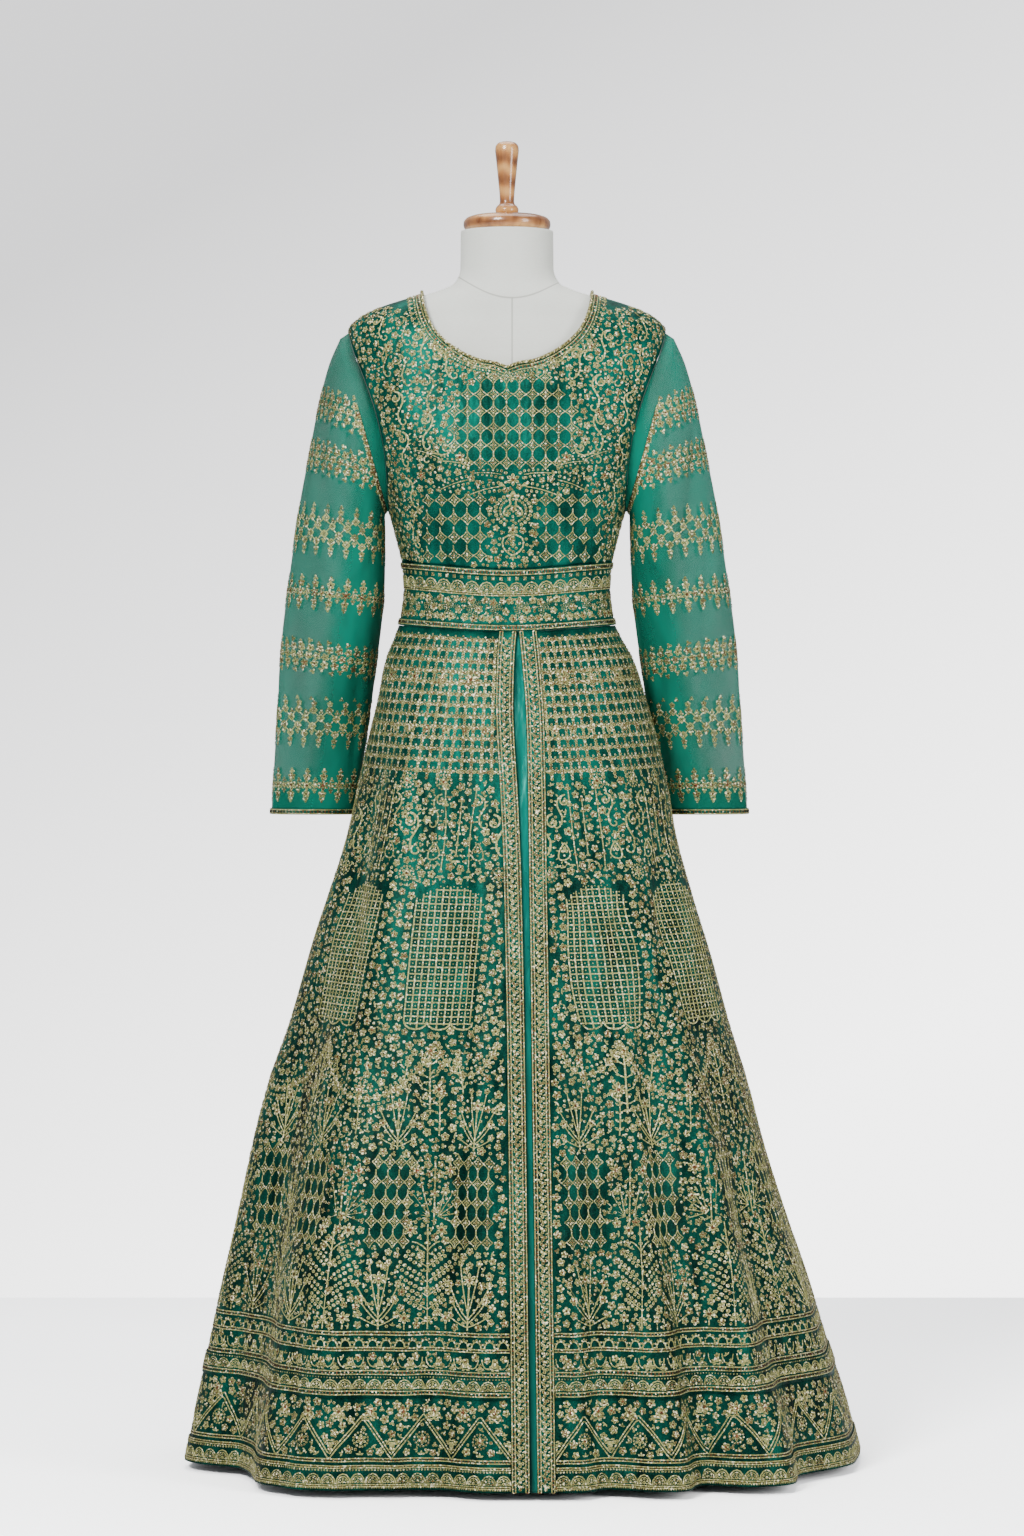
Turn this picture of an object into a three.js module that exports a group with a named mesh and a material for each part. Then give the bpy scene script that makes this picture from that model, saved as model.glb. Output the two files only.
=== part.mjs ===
// Floor-length lehenga gown with a centre front slit, on a limbless dress form with a stand.
// Millimetres, +Z up. The front faces -Y, and the origin is on the floor under the form's axis.
// Angles in plan run from +X (0) over the back +Y (90) and -X (180) to the front -Y (270 degrees).

import * as THREE from 'three';

// ---- Driving dimensions -------------------------------------------------------------------

const clothWall = 1.6;        // satin with its embroidered net
const sleeveWall = 1.2;       // net alone
const trimWall = 1.2;         // braids and borders
const seamGap = 0.3;          // between two pieces that meet
const waistSeam = { side: 993, dip: 10 };      // height at the side, and how much lower in front
const yokeSeam = { side: 1068, dip: 12 };
const hemHeight = 10;
const braidHeight = 8;
const slitBorderWidth = 21;
const shoulderTip = 1342;     // heights of the three points of the armhole and neck
const neckPoint = 1385;
const underarm = 1125;
const armholeBow = 12;        // how far the armhole cuts in from the side
const sleeveLap = 1.8;        // how far the sleeve starts inside the armhole's edge
const pipingRadius = 1.9;
const cuff = { facing: 32, braid: 7 };
const underlap = { under: 10, past: 14, wall: 1.2 };   // satin strip behind the slit
const formBottom = 765;
const formTop = 1461;
const stand = { poleRadius: 16, baseRadius: 190, baseHeight: 22, baseEdge: 8 };

// Sections of the torso under the bodice, upwards: half width, depth to the front and back,
// squareness of the outline (2 is an ellipse), and how far the form stays inside.
const torsoRows = [
  { z: 765, side: 134, front: 94, back: 98, square: 2.2, slack: 2 },
  { z: 800, side: 144, front: 103, back: 110, square: 2.2, slack: 2 },
  { z: 850, side: 148, front: 106, back: 114, square: 2.2, slack: 2 },
  { z: 900, side: 146, front: 104, back: 110, square: 2.2, slack: 2 },
  { z: 955, side: 138, front: 98, back: 97, square: 2.2, slack: 3 },
  { z: 985, side: 129, front: 92, back: 87, square: 2.2, slack: 4 },
  { z: 1010, side: 123.5, front: 88, back: 82, square: 2.2, slack: 4 },
  { z: 1035, side: 121, front: 86, back: 80, square: 2.2, slack: 4 },
  { z: 1060, side: 122.5, front: 88, back: 81, square: 2.2, slack: 4 },
  { z: 1095, side: 130, front: 94, back: 84, square: 2.3, slack: 3 },
  { z: 1125, side: 138, front: 101, back: 87, square: 2.4, slack: 2.2 },
  { z: 1150, side: 144, front: 107, back: 90, square: 2.6, slack: 3 },
  { z: 1185, side: 151, front: 111, back: 93, square: 2.8, slack: 3.2 },
  { z: 1215, side: 158, front: 107, back: 95, square: 3, slack: 3.4 },
  { z: 1250, side: 167, front: 98, back: 96, square: 3.1, slack: 3.5 },
  { z: 1290, side: 178, front: 88, back: 95, square: 3.1, slack: 3.4 },
  { z: 1320, side: 185, front: 82, back: 92, square: 3, slack: 5.4 },
  { z: 1342, side: 187, front: 77, back: 88, square: 2.8, slack: 7.4 },
  { z: 1356, side: 175, front: 73, back: 84, square: 2.6, slack: 7.2 },
  { z: 1367, side: 154, front: 70, back: 80, square: 2.5, slack: 5.6 },
  { z: 1376, side: 129, front: 67, back: 76, square: 2.4, slack: 3.6 },
  { z: 1385, side: 100, front: 63, back: 70, square: 2.3, slack: 1.3 },
  { z: 1393, side: 75, front: 60, back: 64, square: 2.1, slack: 0.6 },
  { z: 1402, side: 61, front: 58, back: 60, square: 2, slack: 0.4 },
  { z: 1416, side: 55.5, front: 56, back: 57, square: 2, slack: 0 },
  { z: 1461, side: 55, front: 56, back: 56, square: 2, slack: 0 },
];

// Sections of the skirt upwards, without its folds.
const skirtRows = [
  { z: 10, left: 381, right: 420, front: 303, back: 322, square: 2.7 },
  { z: 66, left: 369, right: 406, front: 296, back: 313, square: 2.7 },
  { z: 142, left: 353, right: 381, front: 285, back: 300, square: 2.6 },
  { z: 218, left: 338, right: 357, front: 272, back: 286, square: 2.6 },
  { z: 295, left: 321, right: 330, front: 258, back: 271, square: 2.5 },
  { z: 371, left: 305, right: 306, front: 243, back: 254, square: 2.5 },
  { z: 447, left: 284, right: 286, front: 227, back: 237, square: 2.4 },
  { z: 523, left: 258, right: 263, front: 209, back: 219, square: 2.4 },
  { z: 599, left: 236, right: 243, front: 191, back: 200, square: 2.4 },
  { z: 675, left: 212, right: 220, front: 173, back: 182, square: 2.3 },
  { z: 744, left: 189, right: 201, front: 156, back: 165, square: 2.3 },
  { z: 800, left: 176, right: 191, front: 143, back: 152, square: 2.3 },
  { z: 856, left: 165, right: 179, front: 130, back: 139, square: 2.2 },
  { z: 904, left: 154, right: 166, front: 118, back: 126, square: 2.2 },
  { z: 955, left: 143, right: 149, front: 104, back: 107, square: 2.2 },
  { z: 977, left: 134, right: 136, front: 96, back: 93, square: 2.2 },
  { z: 993, left: 128.6, right: 128.6, front: 92.4, back: 87, square: 2.2 },
];

// Crests and valleys of the skirt's folds at the hem, and the height at which each begins.
const foldRows = [
  { angle: 6, out: 2, from: 940 },
  { angle: 23, out: -44, from: 860 },
  { angle: 39, out: 6, from: 900 },
  { angle: 54, out: -30, from: 760 },
  { angle: 69, out: 8, from: 900 },
  { angle: 82, out: -36, from: 880 },
  { angle: 97, out: 5, from: 900 },
  { angle: 110, out: -28, from: 720 },
  { angle: 126, out: 9, from: 900 },
  { angle: 142, out: -46, from: 900 },
  { angle: 159, out: 4, from: 900 },
  { angle: 173, out: -20, from: 620 },
  { angle: 189, out: 0, from: 900 },
  { angle: 205, out: -52, from: 930 },
  { angle: 228, out: 14, from: 900 },
  { angle: 245, out: -8, from: 800 },
  { angle: 254, out: -20, from: 900 },
  { angle: 266, out: 4, from: 700 },
  { angle: 284, out: 5, from: 700 },
  { angle: 292, out: -20, from: 900 },
  { angle: 303, out: 12, from: 800 },
  { angle: 311, out: -26, from: 780 },
  { angle: 320, out: 16, from: 800 },
  { angle: 333, out: -34, from: 700 },
  { angle: 348, out: -8, from: 700 },
];
const stepsPerFold = 3;

// The slit: its middle line and its width, upwards.
const slitRows = [
  { z: 10, x: 30, gap: 8 },
  { z: 200, x: 28, gap: 7.5 },
  { z: 450, x: 25, gap: 7 },
  { z: 700, x: 21, gap: 8.5 },
  { z: 790, x: 18.5, gap: 11 },
  { z: 880, x: 15, gap: 14 },
  { z: 950, x: 13, gap: 8 },
  { z: 983, x: 12.5, gap: 2 },
];

// Neckline in front and behind: distance from the middle, and height.
const frontNeck = [
  { x: 0, z: 1292 },
  { x: 15, z: 1297.5 },
  { x: 30, z: 1300 },
  { x: 50, z: 1308 },
  { x: 71, z: 1322 },
  { x: 86, z: 1338 },
  { x: 94, z: 1354 },
  { x: 98, z: 1369 },
  { x: 99.5, z: 1379 },
];
const backNeck = [
  { x: 0, z: 1362 },
  { x: 30, z: 1364 },
  { x: 60, z: 1368 },
  { x: 84, z: 1374 },
  { x: 96, z: 1380 },
];

// Rings of a sleeve from the armhole to the cuff: its edge next to the body, its outer edge,
// half its depth and how far back its middle lies.
const sleeveRows = [
  { t: 0.02, innerX: 143.2, innerZ: 1129, outerX: 198, outerZ: 1333, depth: 58, back: -2 },
  { t: 0.08, innerX: 146, innerZ: 1122, outerX: 211, outerZ: 1303, depth: 60, back: 0 },
  { t: 0.17, innerX: 146, innerZ: 1108, outerX: 223, outerZ: 1258, depth: 59, back: 3 },
  { t: 0.28, innerX: 146, innerZ: 1090, outerX: 236, outerZ: 1194, depth: 56, back: 8 },
  { t: 0.39, innerX: 146, innerZ: 1062, outerX: 248.5, outerZ: 1128, depth: 53, back: 14 },
  { t: 0.5, innerX: 147, innerZ: 1028, outerX: 258, outerZ: 1063, depth: 50, back: 22 },
  { t: 0.6, innerX: 151, innerZ: 990, outerX: 266, outerZ: 1006, depth: 47, back: 31 },
  { t: 0.7, innerX: 158, innerZ: 938, outerX: 272, outerZ: 943, depth: 43, back: 45 },
  { t: 0.8, innerX: 166, innerZ: 880, outerX: 276.5, outerZ: 880, depth: 39, back: 59 },
  { t: 0.9, innerX: 175, innerZ: 822, outerX: 280.5, outerZ: 822, depth: 35, back: 70 },
  { t: 1, innerX: 184, innerZ: 767, outerX: 284, outerZ: 767, depth: 32, back: 79 },
];
const rightSleeveOut = 6;     // how much further out the right cuff hangs
const sleeveSides = 16;       // twice the rows of the bodice's armhole

// Turned profiles: radius and height above the piece's foot.
const capProfile = [
  { r: 0, z: 0 }, { r: 46, z: 0 }, { r: 50.5, z: 2.5 }, { r: 52, z: 7 }, { r: 51.5, z: 12 },
  { r: 48, z: 16 }, { r: 40, z: 18.6 }, { r: 20, z: 19.6 }, { r: 0, z: 19.6 },
];
const handleProfile = [
  { r: 0, z: 0 }, { r: 11, z: 0 }, { r: 13.4, z: 2.6 }, { r: 14, z: 6 }, { r: 12.6, z: 9.6 },
  { r: 9, z: 12.4 }, { r: 8.4, z: 16 }, { r: 9, z: 26 }, { r: 10.8, z: 44 }, { r: 12.6, z: 62 },
  { r: 14.2, z: 76 }, { r: 13.6, z: 82 }, { r: 10.4, z: 85.6 }, { r: 5, z: 87 }, { r: 0, z: 87.2 },
];

// ---- Colours ------------------------------------------------------------------------------

const paint = (color, roughness, metalness = 0) =>
  new THREE.MeshStandardMaterial({ color, roughness, metalness });
const satin = () => paint(0x0b7a5f, 0.45);
const net = () => paint(0x4f9c83, 0.7);
const brightSatin = () => paint(0x0f9a86, 0.35);
const zari = () => paint(0xb7a271, 0.5, 0.3);
const linen = () => paint(0xe3e0d8, 0.85);
const wood = () => paint(0xa4632a, 0.3);
const steel = () => paint(0xb9bbbd, 0.35, 0.9);

// ---- Tables and surfaces ------------------------------------------------------------------

const turn = Math.PI / 180;
const mix = (a, b, s) => a + (b - a) * s;
const clamp = (value, low, high) => Math.min(Math.max(value, low), high);

// Slope at row i, never past a peak: the harmonic mean of the slopes beside it.
function slopeAt(rows, key, name, i) {
  const slope = (low) => (rows[low + 1][name] - rows[low][name])
    / (rows[low + 1][key] - rows[low][key]);
  const [before, after] = [slope(Math.max(i - 1, 0)), slope(Math.min(i, rows.length - 2))];
  return before * after <= 0 ? 0 : (2 * before * after) / (before + after);
}

// Smooth value of one column at a place on a table's key.
function columnAt(rows, key, name, place) {
  const at = clamp(place, rows[0][key], rows[rows.length - 1][key]);
  const next = clamp(rows.findIndex((row) => row[key] >= at), 1, rows.length - 1);
  const [low, high] = [rows[next - 1], rows[next]];
  const span = high[key] - low[key];
  const s = (at - low[key]) / span;
  const rise = (1 - s) * s * span;
  return mix(low[name], high[name], s * s * (3 - 2 * s))
    + rise * (1 - s) * slopeAt(rows, key, name, next - 1)
    - rise * s * slopeAt(rows, key, name, next);
}

// Distance from the axis to a rounded outline, where |x/half|^square + |y/depth|^square = 1.
function outlineRadius(angle, half, depth, square) {
  const across = Math.abs(Math.cos(angle)) / half;
  const along = Math.abs(Math.sin(angle)) / depth;
  return (across ** square + along ** square) ** (-1 / square);
}

const planPoint = (radius, angle, z) =>
  new THREE.Vector3(radius * Math.cos(angle), radius * Math.sin(angle), z);

function torsoPoint(angle, z) {
  const at = (name) => columnAt(torsoRows, 'z', name, z);
  const depth = at(Math.sin(angle) < 0 ? 'front' : 'back');
  return planPoint(outlineRadius(angle, at('side'), depth, at('square')), angle, z);
}

// A seam's height: level at the sides and behind, and lower towards the middle of the front.
const seamHeight = (seam, angle) => seam.side - seam.dip * Math.max(0, -Math.sin(angle)) ** 1.5;

// How far a fold stands out at an angle and height, and it grows from nothing towards the hem.
function foldOut(angle, z) {
  const degrees = ((angle / turn) % 360 + 360) % 360;
  const next = foldRows.findIndex((row) => row.angle > degrees);
  const high = foldRows[next < 0 ? 0 : next];
  const low = foldRows[(next < 0 ? 0 : next) - 1] ?? foldRows[foldRows.length - 1];
  const span = (high.angle - low.angle + 360) % 360;
  const s = ((degrees - low.angle + 360) % 360) / span;
  const ease = (1 - Math.cos(Math.PI * s)) / 2;
  const from = mix(low.from, high.from, ease);
  return mix(low.out, high.out, ease) * clamp(1 - z / from, 0, 1) ** 1.3;
}

// A point of the skirt's outer face: rise is 0 at the hem and 1 at the waist.
function skirtPoint(angle, rise) {
  const z = mix(hemHeight, seamHeight(waistSeam, angle) - seamGap, rise);
  const at = (name) => columnAt(skirtRows, 'z', name, z);
  const half = at(Math.cos(angle) < 0 ? 'left' : 'right');
  const depth = at(Math.sin(angle) < 0 ? 'front' : 'back');
  return planPoint(outlineRadius(angle, half, depth, at('square')) + foldOut(angle, z), angle, z);
}

// The outward direction of a surface whose first parameter runs round it and second up it.
function outward(surface, u, v, stepU, stepV) {
  const alongU = surface(u + stepU, v).sub(surface(u - stepU, v));
  const alongV = surface(u, v + stepV).sub(surface(u, v - stepV));
  return alongU.cross(alongV).normalize();
}

const torsoNormal = (angle, z) => outward(torsoPoint, angle, z, 0.004, 0.5);
const onTorso = (angle, z, out) =>
  torsoPoint(angle, z).addScaledVector(torsoNormal(angle, z), out);
const onSkirt = (angle, rise, out) =>
  skirtPoint(angle, rise).addScaledVector(outward(skirtPoint, angle, rise, 0.003, 0.001), out);

// ---- Solids from grids --------------------------------------------------------------------

function signedVolume(points, faces) {
  return faces.reduce((sum, [a, b, c]) =>
    sum + points[a].dot(points[b].clone().cross(points[c])), 0);
}

// One closed body from points and triangles, turned so that its faces point out.
function solid(name, points, faces, material) {
  const turned = signedVolume(points, faces) < 0 ? faces.map(([a, b, c]) => [a, c, b]) : faces;
  const geometry = new THREE.BufferGeometry().setFromPoints(points);
  geometry.setIndex(turned.flat());
  geometry.computeVertexNormals();
  const mesh = new THREE.Mesh(geometry, material);
  mesh.name = name;
  return mesh;
}

const quad = (a, b, c, d) => [[a, b, c], [a, c, d]];

// Two triangles split along the first corner's diagonal, facing the other way where not forward.
const quadSplit = ([a, b, c, d], forward) => (forward ? quad(a, b, c, d) : [[a, c, b], [a, d, c]]);

// A wall between two grids of rows of points. A closed wall's rows run all the way round, and
// from the column called mirrored on, each quad is split along its other diagonal.
function wall(name, outer, inner, material, { closed = false, mirrored = Infinity } = {}) {
  const rows = outer.length;
  const columns = outer[0].length;
  const points = [...outer.flat(), ...inner.flat()];
  const at = (layer, i, j) => layer * rows * columns + i * columns + (j % columns);
  const faces = [];
  for (let j = 0; j < (closed ? columns : columns - 1); j += 1) {
    const [near, far] = j < mirrored ? [j, j + 1] : [j + 1, j];
    for (let i = 0; i < rows - 1; i += 1) {
      const corners = (layer) => [at(layer, i, near), at(layer, i, far),
        at(layer, i + 1, far), at(layer, i + 1, near)];
      faces.push(...quadSplit(corners(0), j < mirrored));
      faces.push(...quadSplit(corners(1), j >= mirrored));
    }
    const top = rows - 1;
    faces.push(...quad(at(0, 0, j), at(1, 0, j), at(1, 0, j + 1), at(0, 0, j + 1)));
    faces.push(...quad(at(0, top, j), at(0, top, j + 1), at(1, top, j + 1), at(1, top, j)));
  }
  const last = columns - 1;
  for (let i = 0; i < rows - 1 && !closed; i += 1) {
    faces.push(...quad(at(0, i, 0), at(0, i + 1, 0), at(1, i + 1, 0), at(1, i, 0)));
    faces.push(...quad(at(0, i, last), at(1, i, last), at(1, i + 1, last), at(0, i + 1, last)));
  }
  return solid(name, points, faces, material);
}

// A solid through closed rings, with a flat face over its first and last.
function loft(name, rings, material) {
  const sides = rings[0].length;
  const middle = (ring) => ring.reduce((sum, point) => sum.add(point), new THREE.Vector3())
    .divideScalar(sides);
  const points = [...rings.flat(), middle(rings[0]), middle(rings[rings.length - 1])];
  const foot = rings.length * sides;
  const faces = [];
  for (let j = 0; j < sides; j += 1) {
    const k = (j + 1) % sides;
    for (let i = 0; i < rings.length - 1; i += 1) {
      faces.push(...quad(i * sides + j, i * sides + k, (i + 1) * sides + k, (i + 1) * sides + j));
    }
    faces.push([foot, k, j], [foot + 1, foot - sides + j, foot - sides + k]);
  }
  return solid(name, points, faces, material);
}

// A closed cord along a loop of points, with the direction of its panel at each.
function cordLoop(name, path, normals, radius, sides, material) {
  const points = [];
  path.forEach((point, i) => {
    const ahead = path[(i + 1) % path.length].clone().sub(path.at(i - 1)).normalize();
    const across = ahead.clone().cross(normals[i]).normalize();
    const up = across.clone().cross(ahead);
    for (let j = 0; j < sides; j += 1) {
      const around = (j * 2 * Math.PI) / sides;
      points.push(point.clone().addScaledVector(across, radius * Math.cos(around))
        .addScaledVector(up, radius * Math.sin(around)));
    }
  });
  const at = (i, j) => (i % path.length) * sides + (j % sides);
  const faces = path.flatMap((point, i) => Array.from({ length: sides }, (_, j) =>
    quad(at(i, j), at(i + 1, j), at(i + 1, j + 1), at(i, j + 1))).flat());
  return solid(name, points, faces, material);
}

// A turned solid on the vertical axis at x, above a foot height.
function turned(name, profile, foot, sides, material) {
  const outline = profile.map(({ r, z }) => new THREE.Vector2(r, z));
  const mesh = new THREE.Mesh(new THREE.LatheGeometry(outline, sides), material);
  mesh.geometry.rotateX(Math.PI / 2);
  mesh.position.z = foot;
  mesh.name = name;
  return mesh;
}

const spread = (from, to, count) =>
  Array.from({ length: count + 1 }, (_, i) => mix(from, to, i / count));

// ---- Bodice -------------------------------------------------------------------------------

// Plan angle of a torso point at a given x and height, in front (-1) or behind (1).
function angleAcross(x, z, facing) {
  const at = (name) => columnAt(torsoRows, 'z', name, z);
  const inside = Math.max(0, 1 - Math.abs(x / at('side')) ** at('square'));
  const y = facing * at(facing < 0 ? 'front' : 'back') * inside ** (1 / at('square'));
  return (Math.atan2(y, x) + 2 * Math.PI) % (2 * Math.PI);
}

// The angle from the middle of the front or back to the side's seam line.
const seamTurn = (z) => seamGap / 2 / columnAt(torsoRows, 'z', 'side', z);

// An armhole point: s is 0 at the underarm and 1 at the shoulder tip.
function armholePlace(s, side, facing) {
  const z = mix(underarm, shoulderTip, s);
  const bow = armholeBow * Math.sin(Math.PI * clamp(s, 0, 1));
  return { angle: angleAcross(side * (columnAt(torsoRows, 'z', 'side', z) - bow), z, facing), z };
}

// Turns measured from the middle of the front or back (0) to the sides (1 and -1).
const fromMiddle = (angle, facing) => (angle - (facing < 0 ? 270 : 90) * turn) / (90 * turn);
const toAngle = (across, facing) => ((facing < 0 ? 270 : 90) + 90 * across) * turn;

// A panel has three rows up its side seam and eight more round its armhole.
const bodiceRows = 11;
const sideShare = 3 / bodiceRows;

// A panel's side edge from the yoke up to the underarm and round the armhole, as across and z.
function sideEdge(v, facing) {
  const low = yokeSeam.side + seamGap;
  if (v <= sideShare) {
    const z = mix(low, underarm, v / sideShare);
    return { across: 1 - seamTurn(z) / (90 * turn), z };
  }
  const s = (1 - Math.cos((Math.PI * (v - sideShare)) / (1 - sideShare))) / 2;
  const place = armholePlace(s, facing < 0 ? 1 : -1, facing);
  const unwrapped = place.angle < 90 * turn && facing < 0 ? place.angle + 360 * turn : place.angle;
  const across = Math.min(fromMiddle(unwrapped, facing), 1 - seamTurn(place.z) / (90 * turn));
  return { across, z: place.z };
}

// A panel's top edge from the middle (0) along the neckline and the shoulder seam to the tip (1).
function topEdge(q, facing, neck) {
  if (q > neckShare) {
    const z = mix(neckPoint, shoulderTip, (q - neckShare) / (1 - neckShare));
    return { across: 1 - seamTurn(z) / (90 * turn), z };
  }
  const rows = neck.map((row, i) => ({ ...row, q: (i / neck.length) * neckShare }));
  const end = { x: columnAt(torsoRows, 'z', 'side', neckPoint), z: neckPoint, q: neckShare };
  const [x, z] = ['x', 'z'].map((name) => columnAt([...rows, end], 'q', name, q));
  const angle = angleAcross(facing < 0 ? x : -x, z, facing);
  const unwrapped = angle < 90 * turn && facing < 0 ? angle + 360 * turn : angle;
  const across = Math.min(fromMiddle(unwrapped, facing), 1 - seamTurn(z) / (90 * turn));
  return { across: Math.max(across, 0), z };
}

// Half a panel's surface: u from the middle (0) to the side (1), v from the yoke (0) to the top,
// blended from its four edges.
function halfPanel(u, v, facing, neck) {
  const side = sideEdge(v, facing);
  const top = topEdge(u, facing, neck);
  const middleTop = topEdge(0, facing, neck);
  const yoke = (across) => seamHeight(yokeSeam, toAngle(across, facing)) + seamGap;
  const blend = (name, foot, footMiddle, footSide, middle) =>
    mix(middle, side[name], u) + mix(foot, top[name], v)
    - mix(mix(footMiddle, footSide, u), mix(middleTop[name], topEdge(1, facing, neck)[name], u), v);
  const across = blend('across', sideEdge(0, facing).across * u, 0, sideEdge(0, facing).across, 0);
  const z = blend('z', yoke(u), yoke(0), yoke(1), mix(yoke(0), middleTop.z, v));
  return { across, z };
}

// Panel points as angle and height, rows upwards. Columns run from one side to the other.
function panelPlaces(facing, neck, columns, rowCount, middleGap) {
  return spread(0, 1, rowCount).map((v) => columns.map((u) => {
    const { across, z } = halfPanel(Math.abs(u), v, facing, neck);
    const shift = u === 0 ? (middleGap ?? 0) / columnAt(torsoRows, 'z', 'back', z) : 0;
    return { angle: toAngle(Math.sign(u) * across, facing) + shift, z };
  }));
}

const torsoWall = (name, places, material, mirrored) => wall(
  name,
  places.map((row) => row.map(({ angle, z }) => onTorso(angle, z, clothWall))),
  places.map((row) => row.map(({ angle, z }) => onTorso(angle, z, 0))),
  material,
  { mirrored },
);

const neckShare = 0.72;       // part of a panel's top edge that is neckline, the rest is shoulder
const halfColumns = [0, 0.09, 0.18, 0.28, 0.38, 0.47, 0.54, 0.6, 0.66, neckShare, 0.79, 0.86, 0.93, 1];
const frontColumns = [...halfColumns.slice(1).reverse().map((u) => -u), ...halfColumns];
const frontPlaces = panelPlaces(-1, frontNeck, frontColumns, bodiceRows);

const bodiceFront = torsoWall('bodice_front', frontPlaces, satin(),
  halfColumns.length - 1);

const backHalf = (sign) => panelPlaces(1, backNeck, halfColumns.map((u) => sign * u),
  bodiceRows, (sign * seamGap) / 2);
const backLeftPlaces = backHalf(1);
const backRightPlaces = backHalf(-1);
const bodiceBackLeft = torsoWall('bodice_back_left', backLeftPlaces, satin(), 0);
const bodiceBackRight = torsoWall('bodice_back_right', backRightPlaces, satin(), 0);

// The neck piping lies on the top edge of the three bodice panels.
function neckPiping() {
  const neckPart = (places, sign) => places[bodiceRows]
    .filter((_, i) => sign !== 0 || Math.abs(frontColumns[i]) <= neckShare)
    .slice(0, sign === 0 ? undefined : halfColumns.indexOf(neckShare) + 1);
  const front = neckPart(frontPlaces, 0);
  const right = neckPart(backRightPlaces, -1).reverse().slice(1);
  const left = neckPart(backLeftPlaces, 1).slice(1, -1);
  const loop = [...front, ...right, ...left];
  const out = clothWall + seamGap + pipingRadius;
  const path = loop.map(({ angle, z }) => onTorso(angle, z, out));
  const normals = loop.map(({ angle, z }) => torsoNormal(angle, z));
  return cordLoop('neck_piping', path, normals, pipingRadius, 6, zari());
}

// ---- Yoke ---------------------------------------------------------------------------------

// Rows of the yoke from the waist seam to the bodice seam, with a braid's height at each end.
function yokeHeights(angle) {
  const low = seamHeight(waistSeam, angle);
  const high = seamHeight(yokeSeam, angle);
  return [low, low + braidHeight, mix(low, high, 0.5), high - braidHeight, high];
}

function yokePlaces(facing) {
  const angles = spread(-1, 1, 22).map((across) => {
    const inset = Math.abs(across) === 1 ? seamTurn(waistSeam.side) / (90 * turn) : 0;
    return toAngle(across * (1 - inset), facing);
  });
  return [0, 1, 2, 3, 4].map((i) => angles.map((angle) => ({ angle, z: yokeHeights(angle)[i] })));
}

const yokeFrontPlaces = yokePlaces(-1);
const yokeBackPlaces = yokePlaces(1);

// A braid round the yoke on two of its rows, made from the points of its front and back.
function yokeBraid(name, low) {
  const rows = [low, low + 1].map((i) => [...yokeFrontPlaces[i], ...yokeBackPlaces[i]]);
  const at = (out) => rows.map((row) => row.map(({ angle, z }) => onTorso(angle, z, out)));
  const foot = clothWall + seamGap;
  return wall(name, at(foot + trimWall), at(foot), zari(), { closed: true });
}

// ---- Skirt --------------------------------------------------------------------------------

const skirtLevels = [10, 38, 112, 136, 205, 290, 385, 485, 590, 695, 790, 870, 930, 968];
const skirtRises = [
  ...skirtLevels.map((z) => (z - hemHeight) / (waistSeam.side - seamGap - hemHeight)), 1];
const hemBorderRows = [0, 1];
const bandRows = [2, 3];

// The angle near the middle of the front at which the skirt has a given x.
function angleAtX(x, rise) {
  const front = skirtPoint(270 * turn, rise);
  return 270 * turn + Math.atan2(x, -front.y);
}

function slitEdge(rise, sign) {
  const { z } = skirtPoint(270 * turn, rise);
  const [x, gap] = ['x', 'gap'].map((name) => columnAt(slitRows, 'z', name, z));
  return x + (sign * gap) / 2;
}

// Fold angles and the steps between them, from one angle to another, in degrees.
function foldAngles(from, to) {
  const edges = foldRows.map((row) => row.angle);
  const all = [...edges, ...edges.map((angle) => angle + 360)];
  const fine = all.slice(0, -1).flatMap((angle, i) =>
    spread(angle, all[i + 1], stepsPerFold).slice(0, -1));
  const clear = 1.5;
  return [from, ...fine.filter((angle) => angle > from + clear && angle < to - clear), to];
}

const seamHalf = (angle, rise) => seamGap / 2 / skirtPoint(angle, rise).length();

// Angles of a front panel's columns at one height, always upwards in angle: from the side to the
// slit's border, and then two steps across the border, or the other way round.
function frontAngles(rise, sign) {
  const edge = slitEdge(rise, sign);
  const border = angleAtX(edge + sign * slitBorderWidth, rise);
  const hemBorder = angleAtX(slitEdge(0, sign) + sign * slitBorderWidth, 0) / turn;
  const side = (sign < 0 ? 180 : 360) * turn;
  const seam = side - sign * seamHalf(side, rise);
  const hemAngles = sign < 0 ? foldAngles(180, hemBorder) : foldAngles(hemBorder, 360).reverse();
  const share = hemAngles.map((angle) => (angle - hemAngles[0]) / (hemBorder - hemAngles[0]));
  const middle = angleAtX(edge + (sign * slitBorderWidth) / 2, rise);
  const angles = [...share.map((s) => mix(seam, border, s)), middle, angleAtX(edge, rise)];
  return sign < 0 ? angles : angles.reverse();
}

function backAngles(rise, from, to) {
  return foldAngles(from, to).map((degrees) => {
    const gap = seamHalf(degrees * turn, rise);
    const shift = (degrees === from ? gap : 0) - (degrees === to ? gap : 0);
    return degrees * turn + shift;
  });
}

const skirtGrid = (anglesAt) => skirtRises.map((rise) =>
  anglesAt(rise).map((angle) => ({ angle, rise })));
const placed = (grid, out) => grid.map((row) =>
  row.map(({ angle, rise }) => onSkirt(angle, rise, out)));
const skirtWall = (name, grid, out, thick, material) =>
  wall(name, placed(grid, out), placed(grid, out - thick), material);

const frontLeft = skirtGrid((rise) => frontAngles(rise, -1));
const frontRight = skirtGrid((rise) => frontAngles(rise, 1));
const backLeft = skirtGrid((rise) => backAngles(rise, 90, 180));
const backRight = skirtGrid((rise) => backAngles(rise, 0, 90));

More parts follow.
